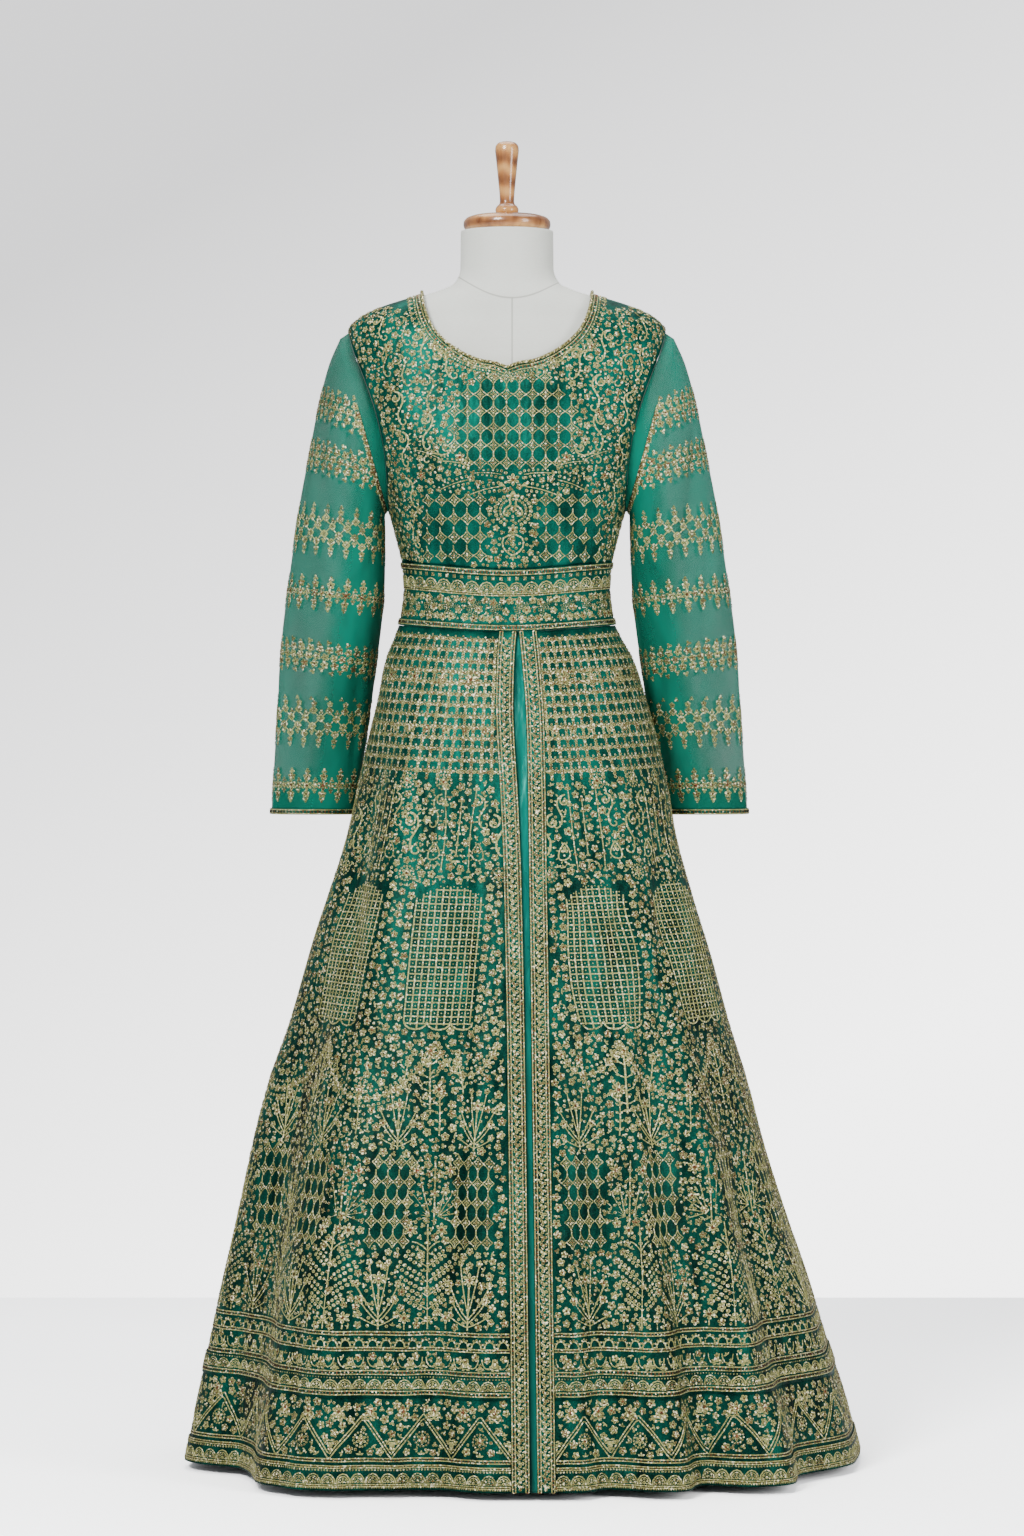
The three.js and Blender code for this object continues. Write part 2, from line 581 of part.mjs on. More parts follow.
// A border beside the slit, on the three columns of its panel that are nearest to the slit.
function slitBorder(name, grid, sign) {
  const strip = grid.map((row) => (sign < 0 ? row.slice(-3) : row.slice(0, 3)));
  return skirtWall(name, strip, seamGap + trimWall, trimWall, zari());
}

// A band round the skirt on two rows of its four panels, from one slit border to the other.
function skirtBand(name, rows) {
  const strip = rows.map((i) => {
    const places = [
      ...frontRight[i].slice(2), ...backRight[i], ...backLeft[i], ...frontLeft[i].slice(0, -2)];
    const gap = seamGap / skirtPoint(270 * turn, places[0].rise).length();
    const [first, last] = [places[0], places[places.length - 1]];
    return [{ ...first, angle: first.angle + gap }, ...places.slice(1, -1),
      { ...last, angle: last.angle - gap }];
  });
  return skirtWall(name, strip, seamGap + trimWall, trimWall, zari());
}

// The satin strip behind the slit, which closes it under both edges.
function slitUnderlap() {
  const grid = skirtRises.map((rise) => {
    const from = slitEdge(rise, -1) - underlap.past;
    const to = slitEdge(rise, 1) + underlap.under;
    return spread(from, to, 4).map((x) => ({ angle: angleAtX(x, rise), rise }));
  });
  const out = -clothWall - 2 * seamGap;
  return skirtWall('slit_underlap', grid, out, underlap.wall, brightSatin());
}

// ---- Sleeves ------------------------------------------------------------------------------

// The bodice's armhole edge and its outward direction: turn 0 is at the shoulder tip and 180
// degrees at the underarm.
function seamPlace(side, around) {
  const facing = Math.sin(around) >= 0 ? -1 : 1;
  const { angle, z } = armholePlace((1 + Math.cos(around)) / 2, side, facing);
  return { point: torsoPoint(angle, z), normal: torsoNormal(angle, z) };
}

// The sleeve's first ring lies inside the hole, and its wall stands the way the bodice's does.
function seamRing(side, around, out) {
  const { point, normal } = seamPlace(side, around);
  const hole = torsoPoint(side < 0 ? Math.PI : 0, mix(underarm, shoulderTip, 0.5)).sub(point);
  const into = hole.addScaledVector(normal, -hole.dot(normal)).normalize();
  return point.addScaledVector(into, sleeveLap).addScaledVector(normal, clothWall / 2 + out);
}

// A sleeve's middle surface below the seam: an ellipse between its inner and outer edge.
function sleevePoint(side, around, t) {
  const at = (name) => columnAt(sleeveRows, 't', name, t);
  const share = (1 + Math.cos(around)) / 2;
  const wider = side < 0 ? 0 : rightSleeveOut * t;
  return new THREE.Vector3(
    side * (mix(at('innerX'), at('outerX'), share) + wider),
    at('back') - at('depth') * Math.sin(around),
    mix(at('innerZ'), at('outerZ'), share),
  );
}

// The sleeve's outward direction, which turns from the bodice's own at its first ring.
function sleeveNormal(side, around, t) {
  const surface = (u, v) => sleevePoint(side, u, v);
  const normal = outward(surface, around, t, 0.01, 0.002).multiplyScalar(side);
  return t > sleeveRows[0].t ? normal : normal.add(seamPlace(side, around).normal).normalize();
}

const onSleeve = (side, around, t, out) =>
  sleevePoint(side, around, t).addScaledVector(sleeveNormal(side, around, t), out);

const sleeveTurns = spread(0, 2 * Math.PI, sleeveSides).slice(0, -1);
const cuffShare = (height) => {
  const last = sleeveRows.at(-1);
  const above = sleeveRows.at(-2);
  return 1 - (height / (above.innerZ - last.innerZ)) * (last.t - above.t);
};
const sleeveSteps = [...sleeveRows.slice(0, -1).map((row) => row.t),
  cuffShare(cuff.facing), cuffShare(cuff.braid), 1];

function sleeve(name, side) {
  const rings = (out) => [
    sleeveTurns.map((around) => seamRing(side, around, out)),
    ...sleeveSteps.map((t) => sleeveTurns.map((around) => onSleeve(side, around, t, out))),
  ];
  return wall(name, rings(sleeveWall / 2), rings(-sleeveWall / 2), net(), { closed: true });
}

// A ring on the sleeve's end, inside or outside its wall.
function cuffRing(name, side, height, out, thick, material) {
  const steps = height > cuff.braid ? sleeveSteps.slice(-3) : sleeveSteps.slice(-2);
  const rings = (at) => steps.map((t) => sleeveTurns.map((around) =>
    onSleeve(side, around, t, at)));
  return wall(name, rings(out), rings(out - thick), material, { closed: true });
}

// ---- Form and stand -----------------------------------------------------------------------

const formSides = 36;

function formTorso() {
  const turns = spread(0, 2 * Math.PI, formSides).slice(0, -1);
  const rings = torsoRows.map(({ z, slack }) => turns.map((angle) => {
    const point = onTorso(angle, z, -slack);
    return point.setZ(clamp(point.z, formBottom, formTop));
  }));
  return loft('form_torso', rings, linen());
}

function standPole() {
  const height = formBottom - stand.baseHeight - 2 * seamGap;
  const profile = [{ r: 0, z: 0 }, { r: stand.poleRadius, z: 0 },
    { r: stand.poleRadius, z: height }, { r: 0, z: height }];
  return turned('stand_pole', profile, stand.baseHeight + seamGap, 20, steel());
}

function standBase() {
  const { baseRadius, baseHeight, baseEdge } = stand;
  const profile = [{ r: 0, z: 0 }, { r: baseRadius - 2, z: 0 }, { r: baseRadius, z: 2 },
    { r: baseRadius, z: baseHeight - baseEdge },
    { r: baseRadius - baseEdge * 0.3, z: baseHeight - baseEdge * 0.3 },
    { r: baseRadius - baseEdge, z: baseHeight }, { r: 0, z: baseHeight }];
  return turned('stand_base', profile, 0, 40, steel());
}

// ---- The object ---------------------------------------------------------------------------

const gown = new THREE.Group();

gown.add(bodiceFront, bodiceBackLeft, bodiceBackRight, neckPiping());
gown.add(torsoWall('yoke_front', yokeFrontPlaces, satin()));
gown.add(torsoWall('yoke_back', yokeBackPlaces, satin()));
gown.add(yokeBraid('waist_braid', 0), yokeBraid('yoke_braid', 3));

gown.add(skirtWall('skirt_front_left', frontLeft, 0, clothWall, satin()));
gown.add(skirtWall('skirt_front_right', frontRight, 0, clothWall, satin()));
gown.add(skirtWall('skirt_back_left', backLeft, 0, clothWall, satin()));
gown.add(skirtWall('skirt_back_right', backRight, 0, clothWall, satin()));
gown.add(slitBorder('slit_border_left', frontLeft, -1));
gown.add(slitBorder('slit_border_right', frontRight, 1));
gown.add(skirtBand('hem_border', hemBorderRows), skirtBand('skirt_band', bandRows));
gown.add(slitUnderlap());

const sideNames = [{ side: -1, label: 'left' }, { side: 1, label: 'right' }];
for (const { side, label } of sideNames) {
  const braidOut = sleeveWall / 2 + seamGap + trimWall;
  const facingOut = -sleeveWall / 2 - seamGap;
  gown.add(sleeve(`sleeve_${label}`, side));
  gown.add(cuffRing(`cuff_braid_${label}`, side, cuff.braid, braidOut, trimWall, zari()));
  gown.add(cuffRing(`cuff_facing_${label}`, side, cuff.facing, facingOut, 1, brightSatin()));
}

gown.add(formTorso());
gown.add(turned('neck_cap', capProfile, formTop + seamGap, 32, wood()));
gown.add(turned('neck_handle', handleProfile, formTop + 2 * seamGap + 19.6, 20, wood()));
gown.add(standPole(), standBase());

export default gown;
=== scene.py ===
import bpy
import numpy as np
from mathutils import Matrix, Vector


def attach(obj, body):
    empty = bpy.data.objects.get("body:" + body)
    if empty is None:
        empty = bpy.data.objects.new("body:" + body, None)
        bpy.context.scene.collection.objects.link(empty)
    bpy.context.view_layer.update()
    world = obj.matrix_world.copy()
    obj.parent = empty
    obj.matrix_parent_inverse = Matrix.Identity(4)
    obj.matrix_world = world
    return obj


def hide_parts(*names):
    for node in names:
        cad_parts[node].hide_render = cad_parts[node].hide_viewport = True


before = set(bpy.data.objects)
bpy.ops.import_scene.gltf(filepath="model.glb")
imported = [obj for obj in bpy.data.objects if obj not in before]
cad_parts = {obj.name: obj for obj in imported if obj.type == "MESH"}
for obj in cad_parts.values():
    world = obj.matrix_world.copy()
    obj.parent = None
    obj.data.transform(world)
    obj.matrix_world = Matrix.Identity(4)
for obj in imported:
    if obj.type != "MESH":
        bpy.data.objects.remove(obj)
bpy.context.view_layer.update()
print("frame loaded")

# Cloth is worked out in millimetres and degrees, and turned into metres at the mesh.
# Angles in plan run from +X (0) over the back +Y (90) and -X (180) to the front -Y (270).

hemLevel, waistLevel = 10, 982.7  # heights of the skirt's ends at the middle of the front
waistSide, yokeSide = 993, 1068   # heights of the waist and the yoke seam at the sides
seamHalf = 0.15                   # half the gap between two panels at a seam
liftOut, trimWall = 1.5, 1.2      # how far a trim stands out, and its thickness
bothSides = (-1, 1)

# z, half width, depth in front, depth behind, squareness, how far the form stays inside
torsoRows = np.array([
    (765, 134, 94, 98, 2.2, 2), (800, 144, 103, 110, 2.2, 2), (850, 148, 106, 114, 2.2, 2),
    (900, 146, 104, 110, 2.2, 2), (955, 138, 98, 97, 2.2, 3), (985, 129, 92, 87, 2.2, 4),
    (1010, 123.5, 88, 82, 2.2, 4), (1035, 121, 86, 80, 2.2, 4), (1060, 122.5, 88, 81, 2.2, 4),
    (1095, 130, 94, 84, 2.3, 3), (1125, 138, 101, 87, 2.4, 2.2), (1150, 144, 107, 90, 2.6, 3),
    (1185, 151, 111, 93, 2.8, 3.2), (1215, 158, 107, 95, 3, 3.4), (1250, 167, 98, 96, 3.1, 3.5),
    (1290, 178, 88, 95, 3.1, 3.4), (1320, 185, 82, 92, 3, 5.4), (1342, 187, 77, 88, 2.8, 7.4),
    (1356, 175, 73, 84, 2.6, 7.2), (1367, 154, 70, 80, 2.5, 5.6), (1376, 129, 67, 76, 2.4, 3.6),
    (1385, 100, 63, 70, 2.3, 1.3), (1393, 75, 60, 64, 2.1, 0.6), (1402, 61, 58, 60, 2, 0.4),
    (1416, 55.5, 56, 57, 2, 0), (1461, 55, 56, 56, 2, 0)])

# z, left, right, front, back, squareness
skirtRows = np.array([
    (10, 381, 420, 303, 322, 2.7), (66, 369, 406, 296, 313, 2.7), (142, 353, 381, 285, 300, 2.6),
    (218, 338, 357, 272, 286, 2.6), (295, 321, 330, 258, 271, 2.5), (371, 305, 306, 243, 254, 2.5),
    (447, 284, 286, 227, 237, 2.4), (523, 258, 263, 209, 219, 2.4), (599, 236, 243, 191, 200, 2.4),
    (675, 212, 220, 173, 182, 2.3), (744, 189, 201, 156, 165, 2.3), (800, 176, 191, 143, 152, 2.3),
    (856, 165, 179, 130, 139, 2.2), (904, 154, 166, 118, 126, 2.2), (955, 143, 149, 104, 107, 2.2),
    (977, 134, 136, 96, 93, 2.2), (993, 128.6, 128.6, 92.4, 87, 2.2)])

# crests and valleys round the hem: angle, how far out, the height at which each begins
foldRows = np.array([
    (6, 2, 940), (23, -44, 860), (39, 6, 900), (54, -30, 760), (69, 8, 900), (82, -36, 880),
    (97, 5, 900), (110, -28, 720), (126, 9, 900), (142, -46, 900), (159, 4, 900), (173, -20, 620),
    (189, 0, 900), (205, -52, 930), (228, 14, 900), (245, -8, 800), (254, -20, 900),
    (266, 4, 700), (284, 5, 700), (292, -20, 900), (303, 12, 800), (311, -26, 780),
    (320, 16, 800), (333, -34, 700), (348, -8, 700)], float)

# z, the slit's middle, its width
slitRows = np.array([
    (10, 30, 8), (200, 28, 7.5), (450, 25, 7), (700, 21, 8.5), (790, 18.5, 11), (880, 15, 14),
    (950, 13, 8), (983, 12.5, 2)])

frontNeck = np.array([
    (0, 1292), (15, 1297.5), (30, 1300), (50, 1308), (71, 1322), (86, 1338), (94, 1354),
    (98, 1369), (99.5, 1379)])
backNeck = np.array([(0, 1362), (30, 1364), (60, 1368), (84, 1374), (96, 1380)], float)

# share of the way to the cuff, inner x and z, outer x and z, half depth, how far back
sleeveRows = np.array([
    (0.02, 143.2, 1129, 198, 1333, 58, -2), (0.08, 146, 1122, 211, 1303, 60, 0),
    (0.17, 146, 1108, 223, 1258, 59, 3), (0.28, 146, 1090, 236, 1194, 56, 8),
    (0.39, 146, 1062, 248.5, 1128, 53, 14), (0.5, 147, 1028, 258, 1063, 50, 22),
    (0.6, 151, 990, 266, 1006, 47, 31), (0.7, 158, 938, 272, 943, 43, 45),
    (0.8, 166, 880, 276.5, 880, 39, 59), (0.9, 175, 822, 280.5, 822, 35, 70),
    (1, 184, 767, 284, 767, 32, 79)])


def mix(a, b, share):
    return a + (b - a) * share


def unit(vectors):
    return vectors / np.maximum(np.linalg.norm(vectors, axis=-1, keepdims=True), 1e-9)


def columnAt(rows, column, place):
    # smooth value between a table's rows; the slope at a row is the harmonic mean of those beside it
    x, y = rows[:, 0], rows[:, column]
    step = np.diff(y) / np.diff(x)
    before, after = np.concatenate([step[:1], step]), np.concatenate([step, step[-1:]])
    product = before * after
    slope = np.where(product <= 0, 0, 2 * product / np.where(product <= 0, 1, before + after))
    at = np.clip(place, x[0], x[-1])
    high = np.clip(np.searchsorted(x, at), 1, len(x) - 1)
    span = x[high] - x[high - 1]
    s = (at - x[high - 1]) / span
    bend = s * (1 - s) * span
    smooth = mix(y[high - 1], y[high], s * s * (3 - 2 * s))
    return smooth + bend * ((1 - s) * slope[high - 1] - s * slope[high])


def outlinePoint(angle, half, depth, square, out, z):
    # a rounded plan outline, |x/half|^square + |y/depth|^square = 1, pushed out along its radius
    turned = np.radians(angle)
    across, along = np.abs(np.cos(turned)) / half, np.abs(np.sin(turned)) / depth
    radius = (across**square + along**square) ** (-1 / square) + out
    return np.stack(np.broadcast_arrays(radius * np.cos(turned), radius * np.sin(turned), z), axis=-1)


def outward(shape, u, v, stepU, stepV):
    # across a surface: the cross product of its steps round and up
    alongU = shape(u + stepU, v) - shape(u - stepU, v)
    alongV = shape(u, v + stepV) - shape(u, v - stepV)
    return unit(np.cross(alongU, alongV))


def torsoPoint(angle, z):
    front = np.sin(np.radians(angle)) < 0
    depth = np.where(front, columnAt(torsoRows, 2, z), columnAt(torsoRows, 3, z))
    return outlinePoint(angle, columnAt(torsoRows, 1, z), depth, columnAt(torsoRows, 4, z), 0, z)


def torsoNormal(angle, z):
    return outward(torsoPoint, angle, z, 0.25, 0.5)


def waistSeam(angle, side=waistSide, dip=10):
    # seams lie lower in front
    return side - dip * np.maximum(0, -np.sin(np.radians(angle))) ** 1.5


def yokeSeam(angle):
    return waistSeam(angle, yokeSide, 12)


def middleAngle(facing):
    return 270 if facing < 0 else 90


def distances(points):
    # how far along a path each of its points lies
    return np.concatenate([[0], np.cumsum(np.linalg.norm(np.diff(points, axis=0), axis=1))])


def triangles(quads):
    return np.concatenate([quads[:, [0, 1, 2]], quads[:, [0, 2, 3]]])


# Soft troughs (-) and ridges (+) of the cloth: front (-1) or back (1), x and z of
# the top and of the foot, how far out, half width. A foot below the hem runs off the edge.
skirtCreases = [
    (-1, -139, 930, -232, 225, -6, 15), (-1, -232, 260, -280, -60, -8, 17),
    (-1, -60, 975, -43, 440, -4.5, 9), (-1, -76, 430, -118, -60, -6, 13),
    (-1, -96, 965, -150, 560, 3.5, 12), (-1, -30, 560, -62, -40, 4, 12),
    (-1, 58, 970, 66, 620, 3, 9), (-1, 90, 965, 106, 100, -5, 11),
    (-1, 128, 940, 150, 420, 3.5, 12), (-1, 172, 820, 198, 380, -6, 13),
    (-1, 206, 480, 244, -60, -9, 15), (-1, 262, 420, 318, -60, -6, 14),
    (-1, -190, 700, -214, 330, 4, 12), (-1, -300, 330, -330, -60, -6, 14),
    (-1, 52, 420, 74, -40, -3.5, 10), (-1, 150, 330, 162, -50, 5, 14),
    (-1, -180, 330, -196, -50, 5, 14), (-1, 128, 700, 122, 420, -3, 10),
    (1, -20, 950, -34, 240, -5, 12), (1, 46, 960, 96, -60, -7, 14),
    (1, -84, 930, -150, -60, -8, 16), (1, 110, 900, 190, 260, 5, 15),
    (1, -128, 820, -226, 120, 4, 14), (1, 4, 600, 12, -60, 5, 15),
    (1, 160, 700, 262, -60, -7, 16), (1, -190, 640, -290, -60, -7, 15),
    (1, 78, 420, 120, -60, 4, 12), (1, -60, 500, -84, -60, 4, 12)]
bodiceCreases = [
    (-1, -118, 1212, -72, 1130, -2, 9), (-1, 122, 1206, 80, 1126, -2, 9),
    (-1, -88, 1118, -58, 1012, -1.6, 8), (-1, 92, 1112, 62, 1010, -1.6, 8),
    (-1, -132, 1330, -128, 1220, 1.5, 10), (-1, 138, 1326, 132, 1216, 1.5, 10),
    (-1, 8, 1250, 10, 1120, -1, 16), (1, -60, 1180, -74, 1020, -1.8, 9),
    (1, 66, 1176, 76, 1018, -1.8, 9), (1, -110, 1290, -96, 1160, -2, 11),
    (1, 112, 1284, 98, 1160, -2, 11)]


def creaseOut(points, creases):
    # each crease is a bell curve across its line, fading in at its top and out at its foot
    x, y, z = points[..., 0], points[..., 1], points[..., 2]
    total = np.zeros(x.shape)
    for facing, xTop, zTop, xFoot, zFoot, out, width in creases:
        share = (zTop - z) / (zTop - zFoot)
        along = np.clip(share / 0.25, 0, 1) * np.clip((1 - share) / 0.2, 0, 1)
        wander = width * 0.35 * np.sin(z / 61 + xTop)
        across = np.exp(-(((x - mix(xTop, xFoot, share) - wander) / width) ** 2))
        total += out * across * along**2 * (3 - 2 * along) * np.clip(y * facing / 25, 0, 1)
    return total


def rumple(points, size):
    # a slow unevenness of a few waves that never line up
    x, y, z = points[..., 0], points[..., 1], points[..., 2]
    waves = np.sin(x / 31 + z / 83 + 1.3) * np.sin(y / 37 - z / 57) + np.sin(x / 17 - y / 21 + z / 140)
    return size * waves


def foldOut(angle, z):
    # cosine steps from crest to valley, fading out towards the height at which each fold begins
    degrees = np.mod(angle, 360)
    high = np.searchsorted(foldRows[:, 0], degrees, side="right") % len(foldRows)
    low = (high - 1) % len(foldRows)
    span = np.mod(foldRows[high, 0] - foldRows[low, 0], 360)
    ease = (1 - np.cos(np.pi * np.mod(degrees - foldRows[low, 0], 360) / span)) / 2
    start = mix(foldRows[low, 2], foldRows[high, 2], ease)
    return mix(foldRows[low, 1], foldRows[high, 1], ease) * np.clip(1 - z / start, 0, 1) ** 1.3


def skirtPoint(angle, level):
    # the flared outline with its folds and creases; level is the height at the middle of the front
    angle, level = np.broadcast_arrays(np.asarray(angle, float), np.asarray(level, float))
    z = mix(hemLevel, waistSeam(angle) - 0.3, (level - hemLevel) / (waistLevel - hemLevel))
    left, front = np.cos(np.radians(angle)) < 0, np.sin(np.radians(angle)) < 0
    half = np.where(left, columnAt(skirtRows, 1, z), columnAt(skirtRows, 2, z))
    depth = np.where(front, columnAt(skirtRows, 3, z), columnAt(skirtRows, 4, z))
    plain = outlinePoint(angle, half, depth, columnAt(skirtRows, 5, z), foldOut(angle, z), z)
    radial = unit(plain * (1, 1, 0))
    fade = np.clip((985 - z) / 60, 0, 1)
    out = (creaseOut(plain, skirtCreases) + rumple(plain, 0.8)) * fade
    return plain + radial * out[..., None]


def bodicePoint(angle, z):
    # the torso, moved out by the cloth, with its small creases
    angle, z = np.broadcast_arrays(np.asarray(angle, float), np.asarray(z, float))
    plain = torsoPoint(angle, z)
    fade = np.clip((z - 1000) / 40, 0, 1) * np.clip((1300 - z) / 40, 0, 1)
    out = 1.6 + np.clip(creaseOut(plain, bodiceCreases) * fade, -0.9, 3)
    return plain + torsoNormal(angle, z) * out[..., None]


# sleeve creases: angle round it and share at the top, the same at the foot, out, half width
sleeveCreases = [
    (60, 0.05, 150, 0.42, -3.5, 7), (20, 0.12, 120, 0.6, -3, 7), (140, 0.3, 60, 0.72, 3, 8),
    (40, 0.4, 100, 0.86, -3, 7), (120, 0.55, 150, 0.98, -2.5, 7), (10, 0.6, 40, 0.97, 2.5, 8),
    (80, 0.62, 70, 1.05, 2, 7), (200, 0.1, 300, 0.6, -3, 8), (330, 0.15, 240, 0.7, 3, 8),
    (250, 0.4, 300, 0.95, -3, 7), (300, 0.6, 260, 1.05, 2.5, 8), (90, 0.1, 100, 0.3, 3, 7)]


def sleevePoint(side, around, t):
    # an ellipse between the sleeve's inner and outer edge, square to the arm
    at = [columnAt(sleeveRows, i, t) for i in range(1, 7)]
    turned = np.radians(around)
    share = (1 + np.cos(turned)) / 2
    wider = 0 if side < 0 else 6 * t
    return np.stack(np.broadcast_arrays(
        side * (mix(at[0], at[2], share) + wider), at[5] - at[4] * np.sin(turned),
        mix(at[1], at[3], share)), axis=-1)


def onSleeve(side, around, t, out):
    # the sleeve moved out along its own direction, with soft creases that run down it askew
    around, t = np.broadcast_arrays(np.asarray(around, float), np.asarray(t, float))
    normal = outward(lambda u, v: sleevePoint(side, u, v), around, t, 0.6, 0.002) * side
    soft = np.zeros(around.shape)
    for top, tTop, foot, tFoot, depth, width in sleeveCreases:
        share = (t - tTop) / (tFoot - tTop)
        gap = np.mod(around - mix(top, foot, share) + 180, 360) - 180
        along = np.clip(share / 0.3, 0, 1) * np.clip((1 - share) / 0.3, 0, 1)
        soft += depth * np.exp(-((gap * 0.85 / width) ** 2)) * along
    soft *= np.clip((t - 0.03) / 0.1, 0, 1) * np.clip((1.0 - t) / 0.12, 0.0, 1)
    return sleevePoint(side, around, t) + normal * (out + soft)[..., None]


class Surface:
    # a shape kept as a fine table of points, outward directions and its steps round and up
    def __init__(self, shape, uEnds, vEnds, counts, turned=1):
        self.u, self.v = np.linspace(*uEnds, counts[0]), np.linspace(*vEnds, counts[1])
        points = shape(self.u[:, None], self.v[None, :])
        alongU, alongV = np.gradient(points, self.u, axis=0), np.gradient(points, self.v, axis=1)
        normal = unit(np.cross(alongU, alongV)) * turned
        self.table = np.concatenate([points, normal, alongU, alongV], axis=-1)
        self.wraps = uEnds[1] - uEnds[0] > 360

    def read(self, u, v):
        # the table between its four nearest entries
        u, v = np.broadcast_arrays(np.asarray(u, float), np.asarray(v, float))
        u = np.mod(u, 360) if self.wraps else u
        x = np.clip((u - self.u[0]) / (self.u[1] - self.u[0]), 0, len(self.u) - 1.001)
        y = np.clip((v - self.v[0]) / (self.v[1] - self.v[0]), 0, len(self.v) - 1.001)
        i, j = x.astype(int), y.astype(int)
        s, r = (x - i)[..., None], (y - j)[..., None]
        low = mix(self.table[i, j], self.table[i + 1, j], s)
        return mix(low, mix(self.table[i, j + 1], self.table[i + 1, j + 1], s), r)

    def lengths(self, u, v):
        # millimetres per step round and per step up
        found = self.read(u, v)
        return np.linalg.norm(found[..., 6:9], axis=-1), np.linalg.norm(found[..., 9:12], axis=-1)

    def steps(self, found, move):
        # the steps round and up whose sum is a given move along the surface
        alongU, alongV = found[..., 6:9], found[..., 9:12]
        a, b, c = [np.sum(p * q, -1) for p, q in ((alongU, alongU), (alongU, alongV), (alongV, alongV))]
        d, e = np.sum(move * alongU, -1), np.sum(move * alongV, -1)
        return (c * d - b * e) / (a * c - b * b), (a * e - b * d) / (a * c - b * b)


skirt = Surface(skirtPoint, (-12, 372), (hemLevel, waistLevel), (1537, 420))
bodice = Surface(bodicePoint, (-12, 372), (983, 1393), (961, 330))
sleeves = {side: Surface(lambda a, t, s=side: onSleeve(s, a, t, 0.6), (-15, 375), (0.02, 1), (391, 240), side)
           for side in bothSides}
print("surfaces worked out")


class Shade:
    # a value on its way through a material; sums on it add Math nodes
    def __init__(self, finish, socket):
        self.finish, self.socket = finish, socket

    def __add__(self, other): return self.finish.maths("ADD", self, other)
    def __radd__(self, other): return self.finish.maths("ADD", other, self)
    def __sub__(self, other): return self.finish.maths("SUBTRACT", self, other)
    def __rsub__(self, other): return self.finish.maths("SUBTRACT", other, self)
    def __mul__(self, other): return self.finish.maths("MULTIPLY", self, other)
    def __rmul__(self, other): return self.finish.maths("MULTIPLY", other, self)
    def __abs__(self): return self.finish.maths("ABSOLUTE", self)


class Finish:
    # one material, or a given world, whose nodes all come from node()
    def __init__(self, name, world=None):
        self.material = world or bpy.data.materials.new(name)
        self.material.use_nodes = True
        self.tree = self.material.node_tree
        self.tree.nodes.clear()

    def node(self, kind, settings=None, inputs=None, output=0):
        made = self.tree.nodes.new("ShaderNode" + kind)
        for key, value in (settings or {}).items():
            if key == "stops":
                ramp = made.color_ramp.elements
                while len(ramp) < len(value):
                    ramp.new(1)
                for stop, (place, colour) in zip(ramp, value):
                    stop.position, stop.color = place, (*colour, 1)
            else:
                setattr(made, key, value)
        for key, value in (inputs or {}).items():
            if isinstance(value, Shade):
                self.tree.links.new(value.socket, made.inputs[key])
            else:
                made.inputs[key].default_value = value
        return Shade(self, made.outputs[output]) if len(made.outputs) else made

    def maths(self, operation, *values):
        return self.node("Math", {"operation": operation}, dict(enumerate(values)))

    def place(self, scale=(1, 1, 1), turn=(0, 0, 0)):
        coordinates = self.node("TexCoord", None, None, "Object")
        return self.node("Mapping", None, {"Vector": coordinates, "Scale": scale, "Rotation": turn})
    def axis(self, name):
        # one of the object's own coordinates
        return self.node("SeparateXYZ", None, {0: self.node("TexCoord", None, None, "Object")}, name)

    def remap(self, value, low, high, lowTo, highTo):
        return self.node("MapRange", None, {
            "Value": value, "From Min": low, "From Max": high, "To Min": lowTo, "To Max": highTo})

    def noise(self, size, detail=2.0, scale=(1, 1, 1)):
        return self.node("TexNoise", None, {
            "Vector": self.place(scale), "Scale": 1 / size, "Detail": detail}, "Fac")

    def cells(self, size, scale=(1, 1, 1)):
        return self.node("TexVoronoi", None, {"Vector": self.place(scale), "Scale": 1 / size}, "Distance")

    def waves(self, kind, direction, scale, distortion, stretch=(1, 1, 1), detail=2.0):
        return self.node("TexWave", {"wave_type": kind, kind.lower() + "_direction": direction}, {
            "Vector": self.place(stretch), "Scale": scale, "Distortion": distortion, "Detail": detail}, "Fac")

    def ramp(self, value, *stops):
        return self.node("ValToRGB", {"stops": stops}, {0: value}, "Color")

    def blend(self, share, one, two):
        # Mix's colour sockets are numbers 6 and 7, and its colour output is number 2
        one, two = [c if isinstance(c, Shade) else (*c, 1) for c in (one, two)]
        return self.node("Mix", {"data_type": "RGBA"}, {0: share, 6: one, 7: two}, 2)

    def bump(self, height, depth, strength=1.0, under=None):
        inputs = {"Height": height, "Distance": depth, "Strength": strength}
        return self.node("Bump", None, inputs | ({"Normal": under} if under else {}), "Normal")

    def finish(self, values):
        # values by the Principled shader's own socket names
        values = {key: (*v, 1) if isinstance(v, tuple) else v for key, v in values.items()}
        surface = self.node("BsdfPrincipled", None, values)
        self.node("OutputMaterial", None, {"Surface": surface})
        return self.material


# satin tones from painted shade (deep) through mid to painted sheen (light), and the sizes of the net and of
# the sheen patches
satinLook = {"deep": (0.0, 0.011, 0.008), "mid": (0.0, 0.046, 0.031), "light": (0.0, 0.118, 0.082),
             "net": 0.0016, "sheenPatch": 0.022}


